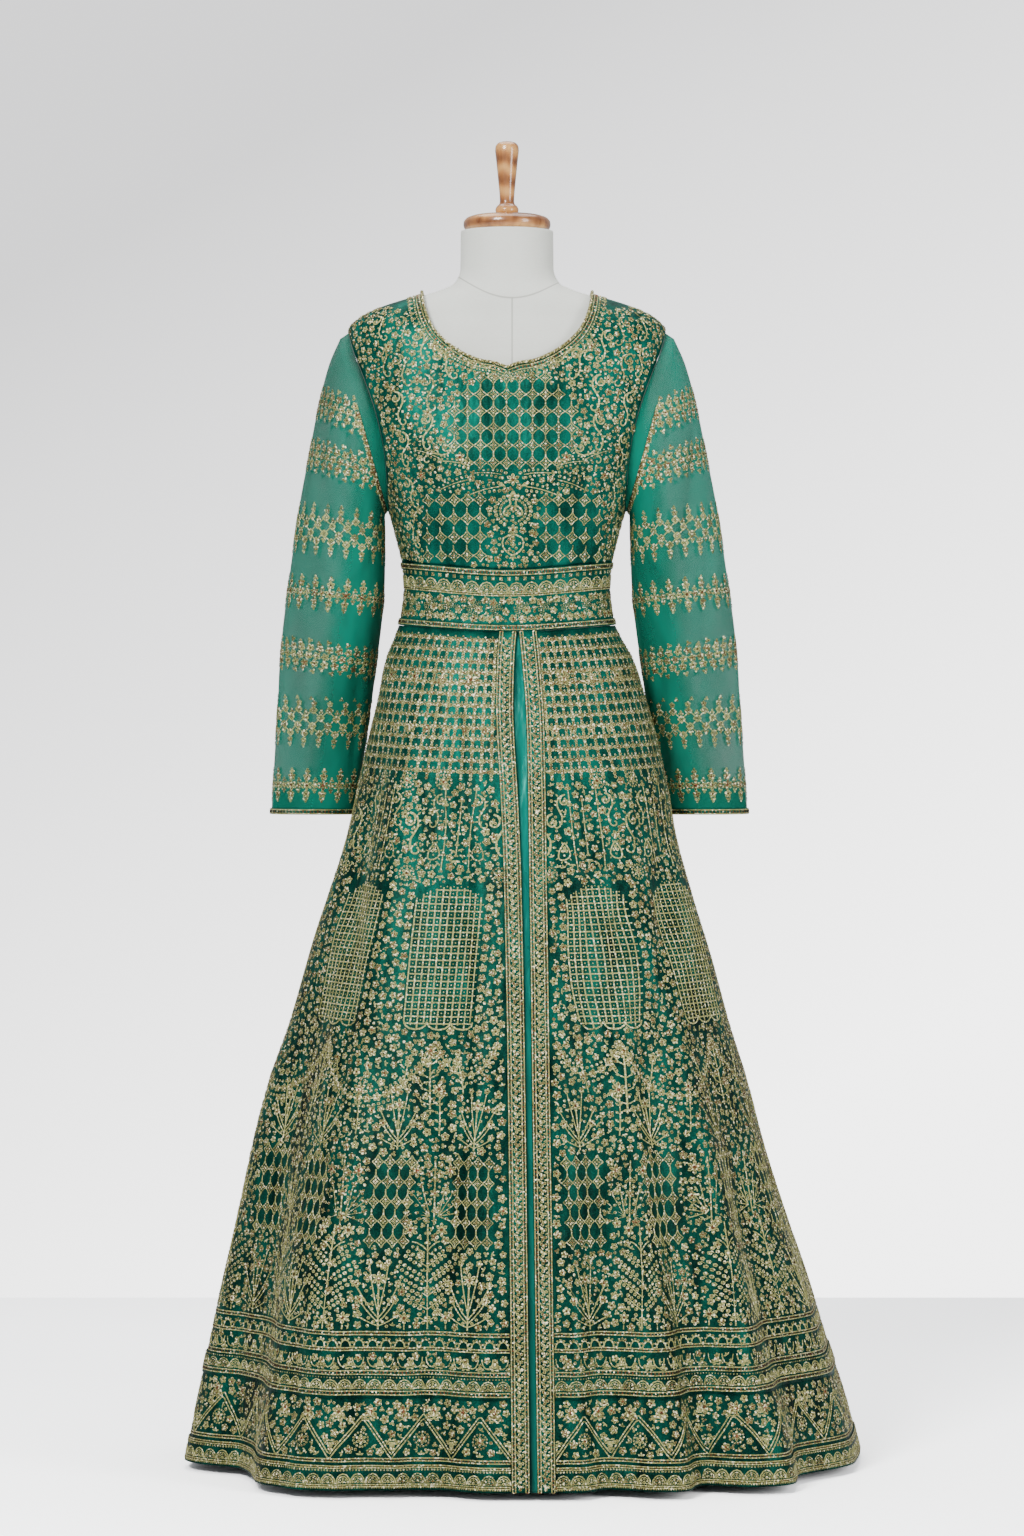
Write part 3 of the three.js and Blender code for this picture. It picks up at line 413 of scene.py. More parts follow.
def satinWithNet():
    # dyed satin under a fine net: slow patches of painted sheen and shade, painted shade that darkens it
    # lower down, small soft puckers and a mesh of dots
    made = Finish("satin under net")
    # painted sheen and shade: a slow noise, stretched upright, between the deep and the light tone; it also
    # varies the roughness
    sheenShade = made.noise(satinLook["sheenPatch"], 3, (1, 1, 0.3))
    mesh = made.cells(satinLook["net"])
    # painted shade: the satin is darker towards the hem and lighter up to 1 m
    litHigher = made.remap(made.axis("Z"), 0.45, 1.0, -0.04, 0.08)
    colour = made.ramp(
        sheenShade * 0.6 + mesh * 0.2 + 0.1 + litHigher, (0.36, satinLook["deep"]), (0.52, satinLook["mid"]),
        (0.70, satinLook["light"]))
    puckers = made.bump(made.noise(0.013, 2, (1, 1, 0.45)), 0.004, 0.7)
    return made.finish({
        "Base Color": colour, "Roughness": sheenShade * 0.2 + 0.36, "Metallic": 0.45, "Specular IOR Level": 0.06,
        "Normal": made.bump(mesh, 0.0002, 0.35, puckers)})


def plainSatin():
    # bare satin: brighter, smoother, with long soft ripples and painted sheen on them
    made = Finish("bright satin")
    rippleSheen = made.noise(0.016, 2, (1, 1, 0.2))
    weave = made.waves("BANDS", "Z", 900, 0.6)
    height = made.axis("Z")
    # painted light: lighter from 0.6 m up to 0.85 m and above
    litHigher = made.remap(height, 0.6, 0.85, 0.0, 0.2)
    # painted shadow: darker on the left of the slit, whose middle leans from 30 mm at the hem to 13 mm at the
    # waist
    lit = made.remap(made.axis("X") + height * 0.0175, 0.027, 0.0345, 0.0, 0.5)
    colour = made.ramp(rippleSheen * 0.3 + lit + litHigher, (0.15, (0.0, 0.016, 0.012)), (0.80, (0.0, 0.25, 0.19)))
    return made.finish({
        "Base Color": colour, "Roughness": rippleSheen * 0.12 + 0.22, "Metallic": 0.5, "Specular IOR Level": 0.25,
        "Normal": made.bump(weave, 0.00005, 0.2, made.bump(rippleSheen, 0.003, 0.5))})


def sheerNet():
    # see-through net: the threads of its mesh hide more than the holes between them
    made = Finish("sheer net")
    mesh = made.cells(0.0013)
    cloud = made.noise(0.045, 3, (1, 1, 0.2))
    colour = made.ramp(cloud, (0.3, (0.0, 0.125, 0.078)), (0.7, (0.0, 0.205, 0.135)))
    across = abs(made.axis("X")) + (made.axis("Z") - 0.8) * 0.16 + cloud * 0.03
    inner = made.remap(across, 0.232, 0.262, 0.24, 0.0)
    return made.finish({
        "Base Color": colour, "Roughness": 0.6, "Alpha": mesh * 0.04 + cloud * 0.32 + 0.43 + inner,
        "Specular IOR Level": 0.1, "Normal": made.bump(made.noise(0.012, 2, (1, 1, 0.35)), 0.0016, 0.5)})


zariLook = {
    "thread": (0.138, 0.132, 0.041), "pale": (0.41, 0.40, 0.145), "sequin": (0.200, 0.066, 0.030),
    "shadow": (0.018, 0.017, 0.006), "glint": (1.0, 0.92, 0.60)}


def zariThread():
    # gold thread in loops round copper sequins: the stitch map's u runs from a sequin's middle
    # (0) to the thread at its rim (1), and v is a number of each motif's own
    made = Finish("gold thread and sequins")
    mark = made.node("UVMap", {"uv_map": "stitch"})
    stitch = made.node("SeparateXYZ", None, {0: mark}, "X")
    own = made.node("SeparateXYZ", None, {0: mark}, "Y")
    # besides its bump, the loops noise swings the colour from the shadow stop, painted shade between loops,
    # to pale gold, partly painted highlight; glint adds pale specks as painted glints
    loops, glint = made.noise(0.0013, 2), made.noise(0.0021, 0)
    colour = made.ramp(
        stitch + (loops - 0.5) * 2.2 + (own - 0.5) * 0.4, (0.10, zariLook["sequin"]),
        (0.32, zariLook["shadow"]), (0.58, zariLook["thread"]), (1.0, zariLook["pale"]))
    return made.finish({
        "Base Color": made.blend(made.remap(glint, 0.63, 0.68, 0, 1), colour, zariLook["glint"]),
        "Roughness": made.remap(stitch, 0.1, 0.5, 0.20, 0.45),
        "Metallic": made.remap(stitch, 0.1, 0.5, 0.8, 0.45),
        "Specular IOR Level": 0.3, "Normal": made.bump(loops, 0.0009, 0.9)})


linenLook = {
    "seamX": 0.006, "seamZ": 1.3765, "dip": 7.2, "dark": (0.70, 0.71, 0.64), "pale": (0.82, 0.84, 0.77)}


def linenCover():
    # off-white linen: crossed threads, a few slubs and soft handling marks
    made = Finish("linen cover")
    warp, weft = [made.waves("BANDS", direction, 420, 1.2) for direction in "XZ"]
    slub, marks = made.noise(0.004, 3, (1, 1, 6)), made.noise(0.09, 3)
    colour = made.ramp(marks * 0.6 + slub * 0.4, (0.3, linenLook["dark"]), (0.7, linenLook["pale"]))
    # stitched seams: one down the middle of the chest, one that dips round the foot of the neck
    x, z = made.axis("X") - linenLook["seamX"], made.axis("Z") - linenLook["seamZ"]
    gaps = made.maths("MAXIMUM", abs(x), z), abs(z - x * x * linenLook["dip"])
    seam = made.remap(made.maths("MINIMUM", *gaps), 0.0004, 0.0013, 0.65, 0.0)
    return made.finish({
        "Base Color": made.blend(seam, colour, (0.30, 0.29, 0.25)), "Roughness": slub * 0.1 + 0.80,
        "Sheen Weight": 0.1, "Normal": made.bump(warp * weft + slub * 0.5, 0.00025, 0.5)})


def turnedWood():
    # varnished wood: stretched grain, darker rings and a clear coat
    made = Finish("varnished turned wood")
    grain = made.noise(0.006, 4, (1, 1, 0.12))
    rings = made.waves("RINGS", "Y", 26, 5.0, (1, 1, 0.5), 3.0)
    colour = made.ramp(
        grain * 0.5 + rings * 0.5, (0.2, (0.17, 0.055, 0.014)), (0.5, (0.42, 0.17, 0.045)),
        (0.8, (0.66, 0.34, 0.10)))
    return made.finish({
        "Base Color": colour, "Roughness": grain * 0.15 + 0.22, "Coat Weight": 0.7, "Coat Roughness": 0.06,
        "Normal": made.bump(grain, 0.0002, 0.25)})


def standSteel():
    # brushed steel with slow stains
    made = Finish("brushed steel")
    brush = made.noise(0.0015, 2, (1, 1, 0.05))
    return made.finish({
        "Base Color": made.ramp(made.noise(0.03), (0.3, (0.45, 0.46, 0.47)), (0.7, (0.60, 0.61, 0.62))),
        "Roughness": brush * 0.2 + 0.25, "Metallic": 1.0, "Normal": made.bump(brush, 0.0001, 0.3)})


satin, brightSatin, net = satinWithNet(), plainSatin(), sheerNet()
zari, linen, wood, steel = zariThread(), linenCover(), turnedWood(), standSteel()
print("finishes made")


def makePiece(name, points, faces, finishes, slotName, marks=None, kinds=None):
    # points in millimetres and equal-sided faces become a mesh at the origin that rides on the body
    mesh = bpy.data.meshes.new(name)
    mesh.vertices.add(len(points))
    mesh.vertices.foreach_set("co", (np.asarray(points) / 1000).astype(np.float32).ravel())
    mesh.loops.add(faces.size)
    mesh.loops.foreach_set("vertex_index", faces.astype(np.int32).ravel())
    mesh.polygons.add(len(faces))
    mesh.polygons.foreach_set("loop_start", np.arange(0, faces.size, faces.shape[1], dtype=np.int32))
    mesh.polygons.foreach_set("use_smooth", np.ones(len(faces), bool))
    if kinds is not None:
        mesh.polygons.foreach_set("material_index", kinds.astype(np.int32))
    if marks is not None:
        stitch = mesh.uv_layers.new(name="stitch")
        stitch.data.foreach_set("uv", marks[faces.ravel()].astype(np.float32).ravel())
    mesh.update(calc_edges=True)
    mesh.validate()
    for finish in finishes:
        mesh.materials.append(finish)
    piece = bpy.data.objects.new(name, mesh)
    bpy.context.scene.collection.objects.link(piece)
    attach(piece, "root")
    return piece


def gridFaces(rows, columns, closed=False):
    # quads between neighbouring rows and columns; a closed grid's last column meets its first
    i, j = np.meshgrid(np.arange(rows - 1), np.arange(columns if closed else columns - 1), indexing="ij")
    near, far = i * columns + j, i * columns + (j + 1) % columns
    return np.stack([near, far, far + columns, near + columns], -1).reshape(-1, 4)


def makeSheet(name, grid, finish, slotName, wall, closed=False):
    # a grid of rows upwards and columns round, given its thickness inwards
    faces = gridFaces(*grid.shape[:2], closed)
    piece = makePiece(name, grid.reshape(-1, 3), faces, [finish], slotName)
    solidify = piece.modifiers.new("wall", "SOLIDIFY")
    solidify.thickness, solidify.offset = wall / 1000, -1
    return piece


def capped(grid):
    # a closed grid of rings with a middle point under its first ring and over its last, as triangles
    rows, columns = grid.shape[:2]
    quads = gridFaces(rows, columns, True)
    around = np.arange(columns)
    following = (around + 1) % columns
    foot, top = rows * columns, rows * columns + 1
    faces = np.concatenate([
        triangles(quads), np.stack([np.full(columns, foot), following, around], 1),
        np.stack([np.full(columns, top), foot - columns + around, foot - columns + following], 1)])
    points = np.concatenate([grid.reshape(-1, 3), grid[0].mean(0)[None], grid[-1].mean(0)[None]])
    return points, faces


formLook = {"sides": 240, "seamX": 6.0, "neckSeam": 1398, "neckDip": 22}
formFoot, formTop = torsoRows[0, 0], torsoRows[-1, 0]


def formGrid():
    # the torso moved in by its slack, with shallow stitched grooves at the front seam and the neck
    z = np.concatenate([np.linspace(formFoot, 1300, 40), np.linspace(1304, formTop, 60)])[:, None]
    angle = (np.arange(formLook["sides"]) * 360 / formLook["sides"])[None, :]
    base = torsoPoint(angle, z)
    neckSeam = formLook["neckSeam"] - formLook["neckDip"] * np.maximum(0, -np.sin(np.radians(angle))) ** 2
    groove = np.exp(-(((base[..., 2] - neckSeam) / 1.3) ** 2)) * 0.9
    seam = np.exp(-(((base[..., 0] - formLook["seamX"]) / 1.1) ** 2)) * 0.6 * (base[..., 1] < 0)
    out = -columnAt(torsoRows, 5, z) - groove - seam
    points = base + torsoNormal(angle, z) * out[..., None]
    points[..., 2] = np.clip(points[..., 2], formFoot, formTop)
    return points


form = makePiece("form", *capped(formGrid()), [linen], "form_linen")
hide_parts("form_torso")


def turnedGrid(profile, foot, sides, steps):
    # a profile of radius and height, smoothed and carried round the vertical axis
    profile = np.array(profile, float)
    rows = np.column_stack([distances(profile), profile])
    at = np.linspace(0, rows[-1, 0], steps)
    radius, height = np.interp(at, rows[:, 0], rows[:, 1]), np.interp(at, rows[:, 0], rows[:, 2])
    for _ in range(2):  # rounds the turner's edges a little
        radius[1:-1] = (radius[:-2] + 2 * radius[1:-1] + radius[2:]) / 4
        height[1:-1] = (height[:-2] + 2 * height[1:-1] + height[2:]) / 4
    angle = np.arange(sides) * 2 * np.pi / sides
    return np.stack([
        radius[:, None] * np.cos(angle), radius[:, None] * np.sin(angle),
        np.repeat(height[:, None] + foot, sides, 1)], -1)


capLook = {
    "capFoot": 1461.3, "handleFoot": 1481.2,  # heights at which each begins
    "cap": [(46, 0), (50.5, 2.5), (52, 7), (51.5, 12), (48, 16), (40, 18.6), (20, 19.6), (1, 19.6)],
    "handle": [(11, 0), (13.4, 2.6), (14, 6), (12.6, 9.6), (9, 12.4), (8.4, 16), (9, 26), (10.8, 44),
               (12.6, 62), (14.2, 76), (13.6, 82), (10.4, 85.6), (5, 87), (0.5, 87.2)]}
cap = makePiece("cap", *capped(turnedGrid(capLook["cap"], capLook["capFoot"], 96, 60)), [wood], "turned_wood")
handle = makePiece(
    "handle", *capped(turnedGrid(capLook["handle"], capLook["handleFoot"], 64, 90)), [wood], "turned_wood")
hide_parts("neck_cap")
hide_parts("neck_handle")
for node in ("stand_pole", "stand_base"):
    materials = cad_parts[node].data.materials
    materials.clear()
    materials.append(steel)
print("form and cap made")

# Motifs of thread lie in millimetres on a flat ground: points, faces and each point's stitch mark.


def cone(long, wide, height=0.9, sides=4, middle=0.0, rim=1.0, lift=0.05):
    # a low cone: a middle point over a ring of rim points
    around = np.arange(sides) * 2 * np.pi / sides
    points = np.column_stack([long * np.cos(around), wide * np.sin(around), np.full(sides, lift)])
    faces = np.stack([np.arange(sides), (np.arange(sides) + 1) % sides, np.full(sides, sides)], 1)
    return np.vstack([points, [0, 0, height]]), faces, np.append(np.full(sides, rim), middle)


def moved(motif, x=0.0, y=0.0, turn=0.0, size=1.0, flip=1):
    # a motif at another place, turned in degrees, scaled, and mirrored where flip is -1
    points, faces, marks = motif
    c, s = np.cos(np.radians(turn)) * size, np.sin(np.radians(turn)) * size
    px, py = points[:, 0] * flip, points[:, 1]
    made = np.column_stack([px * c - py * s + x, px * s + py * c + y, points[:, 2]])
    return made, faces if flip > 0 else faces[:, ::-1], marks


def joined(*motifs):
    counts = np.cumsum([0] + [len(m[0]) for m in motifs])
    return (np.vstack([m[0] for m in motifs]), np.vstack([m[1] + n for m, n in zip(motifs, counts)]),
            np.concatenate([m[2] for m in motifs]))


def ridge(count):
    # triangles of a raised line whose steps have three points each
    i = np.arange(count - 1)[:, None] * 3
    return np.concatenate([i + (0, 3, 4), i + (0, 4, 1), i + (1, 4, 5), i + (1, 5, 2)])


def cord(path, width=1.3, height=0.75, mark=0.85):
    # a raised line: at each step an edge, the crest and the other edge
    path = np.asarray(path, float)
    ahead = unit(np.gradient(path, axis=0))
    aside = np.column_stack([-ahead[:, 1], ahead[:, 0]]) * width / 2
    count = len(path)
    low = np.full(count, 0.05)
    points = np.stack([
        np.column_stack([path - aside, low]), np.column_stack([path, low + height]),
        np.column_stack([path + aside, low])], 1).reshape(-1, 3)
    return points, ridge(count), np.full(count * 3, mark)


def curve(*points, count=10):
    # a smooth path through a few points, each held by the two beside it
    p = np.array([points[0], *points, points[-1]], float)
    t = np.linspace(0, len(points) - 1.0001, count)
    i, s = t.astype(int), (t % 1)[:, None]
    a, b, c, d = p[i], p[i + 1], p[i + 2], p[i + 3]
    return b + 0.5 * s * (c - a + s * (2 * a - 5 * b + 4 * c - d + s * (3 * (b - c) + d - a)))


def ringOf(motif, count, radius, start=90.0, turned=True):
    steps = start + np.arange(count) * 360 / count
    return joined(*[moved(motif, radius * np.cos(np.radians(a)), radius * np.sin(np.radians(a)),
                          a if turned else 0) for a in steps])


bead = cone(1.1, 1.1, 1.0, 5, 0.35, 0.9)
loop = cone(2.1, 2.1, 0.9, 6, 0.0, 1.0)
petal = cone(2.25, 2.0, 0.9, 5, 0.15, 1.0)
eye = cone(1.5, 1.5, 1.3, 5, 0.0, 0.3)
floret = joined(ringOf(petal, 5, 3.2), eye)
bud = joined(ringOf(cone(1.8, 1.6, 0.8, 5, 0.1, 1.0), 3, 1.9), cone(0.9, 0.9, 1.1, 4, 0.3, 0.8))
leaf = moved(cone(2.6, 1.2, 0.8, 4, 0.55, 1.0), 2.4)
trefoil = joined(moved(leaf, 0, 0, 90), moved(leaf, 0, 0, 20), moved(leaf, 0, 0, 160))
star = joined(ringOf(cone(3.2, 2.0, 1.0, 5, 0.2, 1.0), 6, 4.6), cone(2.4, 2.4, 1.4, 6, 0.0, 0.3))
crossing = joined(ringOf(cone(1.8, 1.6, 0.8, 5, 0.1, 1.0), 4, 2.0), cone(0.9, 0.9, 1.1, 4, 0.3, 0.8))
medallion = joined(star, ringOf(moved(loop, 0, 0, 0, 0.72), 15, 9.6))
diamondFlower = joined(ringOf(cone(1.9, 1.5, 0.9, 4, 0.2, 1.0), 4, 2.3), cone(1.1, 1.1, 1.2, 4, 0.0, 0.3))


def diamond(wide, tall, pitch=0.0):
    # a gold diamond that touches its neighbours at its sides, and a stem to the row above it
    corners = [(wide / 2, 0), (0, tall / 2), (-wide / 2, 0), (0, -tall / 2), (wide / 2, 0)]
    sides = [cord(curve(a, np.add(a, b) * 0.42, b, count=3), 1.1) for a, b in zip(corners, corners[1:])]
    stem = [cord([(0, tall / 2), (0, pitch - tall / 2)], 1.4)] if pitch else []
    return joined(moved(diamondFlower, 0, 0, 0, 0.95), moved(bead, 0, tall * 0.32, 0, 0.7),
                  moved(bead, 0, -tall * 0.32, 0, 0.7), *sides, *stem)


def node(reachX, reachY):
    # a small flower in a square of cord, tied to the row above it by two slanted cords
    corners = [(4.6, 0), (0, 4.6), (-4.6, 0), (0, -4.6), (4.6, 0)]
    ties = [cord([(flip * 2.3, 2.3), (flip * (reachX - 2.3), reachY - 2.3)], 1.3) for flip in (-1, 1)]
    sides = [cord([a, b], 1.2) for a, b in zip(corners, corners[1:])]
    return joined(diamondFlower, *sides, *ties * bool(reachY))


def scroll():
    # an S of cord, curled in at both ends, with leaves along its outer side
    t = np.linspace(0, 1, 9)
    curl = np.radians(90 + 300 * t)
    upper = np.column_stack([6 + (7.5 - 5 * t) * np.cos(curl), 13 + (7.5 - 5 * t) * np.sin(curl)])
    spine = curve((6, 20.5), (-2, 16), (-3, 6), (3, -5), (2, -15), count=9)
    lower = np.column_stack([-3.5 + (5.5 - 3.5 * t) * np.cos(curl[::-1] + 0.3),
                             -15 + (5.5 - 3.5 * t) * np.sin(curl[::-1] + 0.3)])
    leaves = [moved(leaf, x, y, a, 0.9) for x, y, a in
              [(-3, 12, 165), (-3.4, 7, 150), (0, 0, 30), (3, -6, 10), (-2, 18, 140), (4, -11, 350)]]
    return joined(cord(upper, 1.8, 0.9), cord(spine, 1.9, 0.9), cord(lower, 1.7, 0.9), moved(bud, 6, 13),
                  *leaves)


def paisley():
    # a drop of cord with a bent tip, filled with beads and ringed with small leaves
    t = np.linspace(0, 2 * np.pi, 17)
    y = -9 * np.cos(t) - 2
    x = 7.5 * np.sin(t) * np.sin(t / 2) ** 1.2 * 1.1
    x = np.where(y > 0, x + 0.05 * y * y, x)
    edge = np.column_stack([x, -y])
    outer = [moved(leaf, px * 1.12, py * 1.12, np.degrees(np.arctan2(py, px)), 0.6)
             for px, py in edge[2:-2:2]]
    return joined(cord(edge, 1.5, 0.9), moved(bud, 0, 3.5, 0, 1.1), moved(bead, 0.5, -2), *outer)


def sprig(height, pairs, head, spread=6.0):
    # a stem with pairs of leaves, each a little shorter than the one below, and a head
    parts = [cord(curve((0, 0), (1.0, height / 2), (0, height), count=5), 1.3), moved(head, 0, height + 2)]
    for i in range(pairs):
        y = height * (i + 0.6) / (pairs + 0.3)
        size = 1.15 - 0.35 * i / pairs
        for flip in (-1, 1):
            parts.append(moved(leaf, flip * 0.4, y, 90 - flip * 52, size))
    return joined(*parts)


def tree(height, arms, reach, head):
    # a trunk with curved arms that carry buds and leaves, widest low down
    parts = [cord(np.column_stack([np.zeros(6), np.linspace(0, height, 6)]), 2.0, 1.0),
             moved(head, 0, height + 6), moved(trefoil, 0, -1, 180, 1.1)]
    for i in range(arms):
        y = height * (i + 0.35) / arms
        out = reach * (1 - 0.45 * i / arms)
        for flip in (-1, 1):
            arm = curve((0, y), (flip * out * 0.55, y + 3), (flip * out, y + 10), count=5)
            parts += [cord(arm, 1.3), moved(bud, flip * out, y + 12, 0, 1.2),
                      moved(leaf, flip * out * 0.45, y + 2.5, 90 - flip * 75, 0.95),
                      moved(leaf, flip * out * 0.7, y + 5, 90 + flip * 12, 0.95)]
    return joined(*parts)


def spray(reach, rise, count, size=1.0):
    # two slanted arms with a loop above and below at each step
    parts = []
    for flip in (-1, 1):
        parts.append(cord([(0, 0), (flip * reach, rise)], 1.2))
        for share in np.linspace(0.3, 1, count):
            x, y = flip * reach * share, rise * share
            parts += [moved(petal, x + flip * a, y + b, 0, size) for a, b in ((-1.2, 2.9), (1.6, -2.5))]
    return joined(*parts)


def treeFoot():
    # a trunk with rising arms of loops and a star on either side at its top and its foot
    parts = [cord([(0, 0), (0, 60), (0, 118)], 1.7, 1.1)]
    for y, reach, rise, count in (
            (8, 9, 6, 2), (22, 20, 14, 4), (37, 28, 19, 5), (53, 30, 20, 5), (70, 21, 15, 4)):
        parts.append(moved(spray(reach, rise, count, 1.12), 0, y))
    for flip in (-1, 1):
        parts += [moved(star, flip * 18, 112, 0, 1.1), moved(star, flip * 23, 13, 0, 0.95),
                  cord([(flip * 23, 5), (flip * 23, 0)], 1.4),
                  cord(curve((0, 88), (flip * 8, 96), (flip * 16, 99), count=4), 1.4)]
    return joined(*parts, moved(bud, 0, 98, 0, 1.1), moved(crossing, 0, 108, 0, 1.0))


def treeMiddle():
    # curled arms and fans of loops between two pairs of stars
    parts = [cord([(0, 0), (0, 36), (0, 74)], 1.6, 1.0), moved(star, 0, 36, 0, 0.8)]
    for flip in (-1, 1):
        for x, y in ((24, 4), (27, 14), (28, 26), (23, 37), (14, 46)):
            parts += [cord([(flip * 5, 10), (flip * x * 0.9, y * 0.95)], 1.2),
                      moved(bud, flip * x, y, 45, 1.05), moved(petal, flip * x * 0.62, y * 0.7 + 4.5, 0, 0.9)]
        parts += [moved(star, flip * 18, 62, 0, 1.1), moved(petal, flip * 5, 24, 0, 1.0),
                  moved(petal, flip * 5, 50, 0, 1.0), moved(floret, flip * 8, 78, 0, 0.8)]
    return joined(*parts, moved(crossing, 0, 52, 0, 1.1), moved(bud, 0, 64), moved(floret, 0, 88, 0, 0.9))


def bush():
    # a star over curved arms that end in florets and buds
    parts = [cord([(0, 0), (0, 24), (0, 46)], 1.8, 1.0), moved(star, 0, 54, 0, 1.1),
             moved(floret, 0, 70, 0, 0.8)]
    for flip in (-1, 1):
        for x, y, size in ((21, 14, 0.85), (19, 30, 1.0), (23, 47, 0.85), (11, 70, 0.75)):
            parts += [cord(curve((0, y * 0.25), (flip * x * 0.5, y * 0.55), (flip * x, y), count=4), 1.3),
                      moved(floret, flip * x, y + 2, 20, size)]
        parts += [moved(petal, flip * x, y, 0, 0.9) for x, y in (
            (5, 8), (10, 12), (7, 22), (12, 27), (6, 36), (13, 41), (15, 60))]
    return joined(*parts)


def bouquet():
    # a lotus of five leaves on a short stem between two buds
    fan = [moved(leaf, 0, 3, a, 1.5) for a in (30, 60, 90, 120, 150)]
    return joined(*fan, moved(floret, 0, 12, 0, 0.8), moved(bud, -7, 3), moved(bud, 7, 3),
                  moved(leaf, 0, 1, 200, 1.3), moved(leaf, 0, 1, 340, 1.3))


def arch(wide, tall, width=1.3):
    # half an ellipse of cord standing on its feet
    a = np.linspace(0, np.pi, 7)
    return cord(np.column_stack([wide / 2 * np.cos(a), tall * np.sin(a)]), width)


def beadArch():
    # an open arch under a row of small loops
    ends = np.radians(np.linspace(0, 180, 7))
    loops = [moved(petal, 7.1 * np.cos(a), 9.2 * np.sin(a), 0, 0.62) for a in ends]
    return joined(arch(11, 7.5, 1.5), *loops)


def filledScallop():
    # an arch packed with small loops
    parts = [arch(19, 12.5, 1.6), arch(15, 9.5, 1.1)]
    ends = np.radians((15, 50, 90, 130, 165))
    parts += [moved(loop, 6.2 * np.cos(a), 6.6 * np.sin(a), 0, 0.75) for a in ends]
    return joined(*parts, moved(petal, 0, 2.4, 0, 1.1), moved(bead, -3.5, 1.2), moved(bead, 3.5, 1.2))


def heart():
    # a wreath of loops round two curls, under a flower and over a smaller wreath
    t = np.radians(np.arange(-60, 241, 15.0))
    wreath = [moved(petal, 21 * np.cos(a), 19 * np.sin(a), np.degrees(a), 1.15) for a in t]
    inner = [moved(loop, 15.5 * np.cos(a), 14 * np.sin(a), 0, 0.8) for a in t]
    parts = [*wreath, *inner, moved(star, 0, 38, 0, 1.0), moved(star, 0, -23, 0, 0.9)]
    for flip in (-1, 1):
        curl = curve((0, 24), (flip * 4, 15), (flip * 3, 8), (flip * 9, 3), (flip * 11, -4), (flip * 5, -6),
                     count=12)
        low = curve((0, -28), (flip * 12, -33), (flip * 13, -44), (flip * 5, -52), (0, -54), count=9)
        parts += [cord(curl, 2.2, 1.0), cord(low, 2.0, 1.0), moved(bud, flip * 6, -2, 0, 1.0),
                  moved(paisleyLeaf, flip * 9, 30, 90 - flip * 65, 1.3)]
        parts += [moved(petal, flip * x, y, 0, 0.95) for x, y in
                  [(17, -34), (18, -41), (14, -49), (8, -56), (12, 40), (8, 46), (16, 34)]]
    return joined(*parts, moved(crossing, 0, -41, 0, 1.0), moved(trefoil, 0, -56, 180, 1.1))


def feather(length, count, bend=0.0):
    # a curved stem with loops down both sides that shrink towards its tip
    t = np.linspace(0, 1, count)
    x, y = bend * t * t, length * t
    parts = [cord(np.column_stack([bend * np.linspace(0, 1, 5) ** 2, length * np.linspace(0, 1, 5)]), 1.3)]
    for a, b, size in zip(x, y, 1.15 - 0.5 * t):
        parts += [moved(petal, a + flip * 4.4 * size, b + 1.5, flip * 25, size * 0.92) for flip in (-1, 1)]
    return joined(*parts, moved(bud, bend, length + 3, 0, 1.0))


paisleyLeaf = moved(leaf, 0, 0, 0, 1.6)
scrollMotif, paisleyMotif, heartMotif, bouquetMotif = scroll(), paisley(), heart(), bouquet()
featherMotif, filledScallop = feather(38, 7, 6.0), filledScallop()


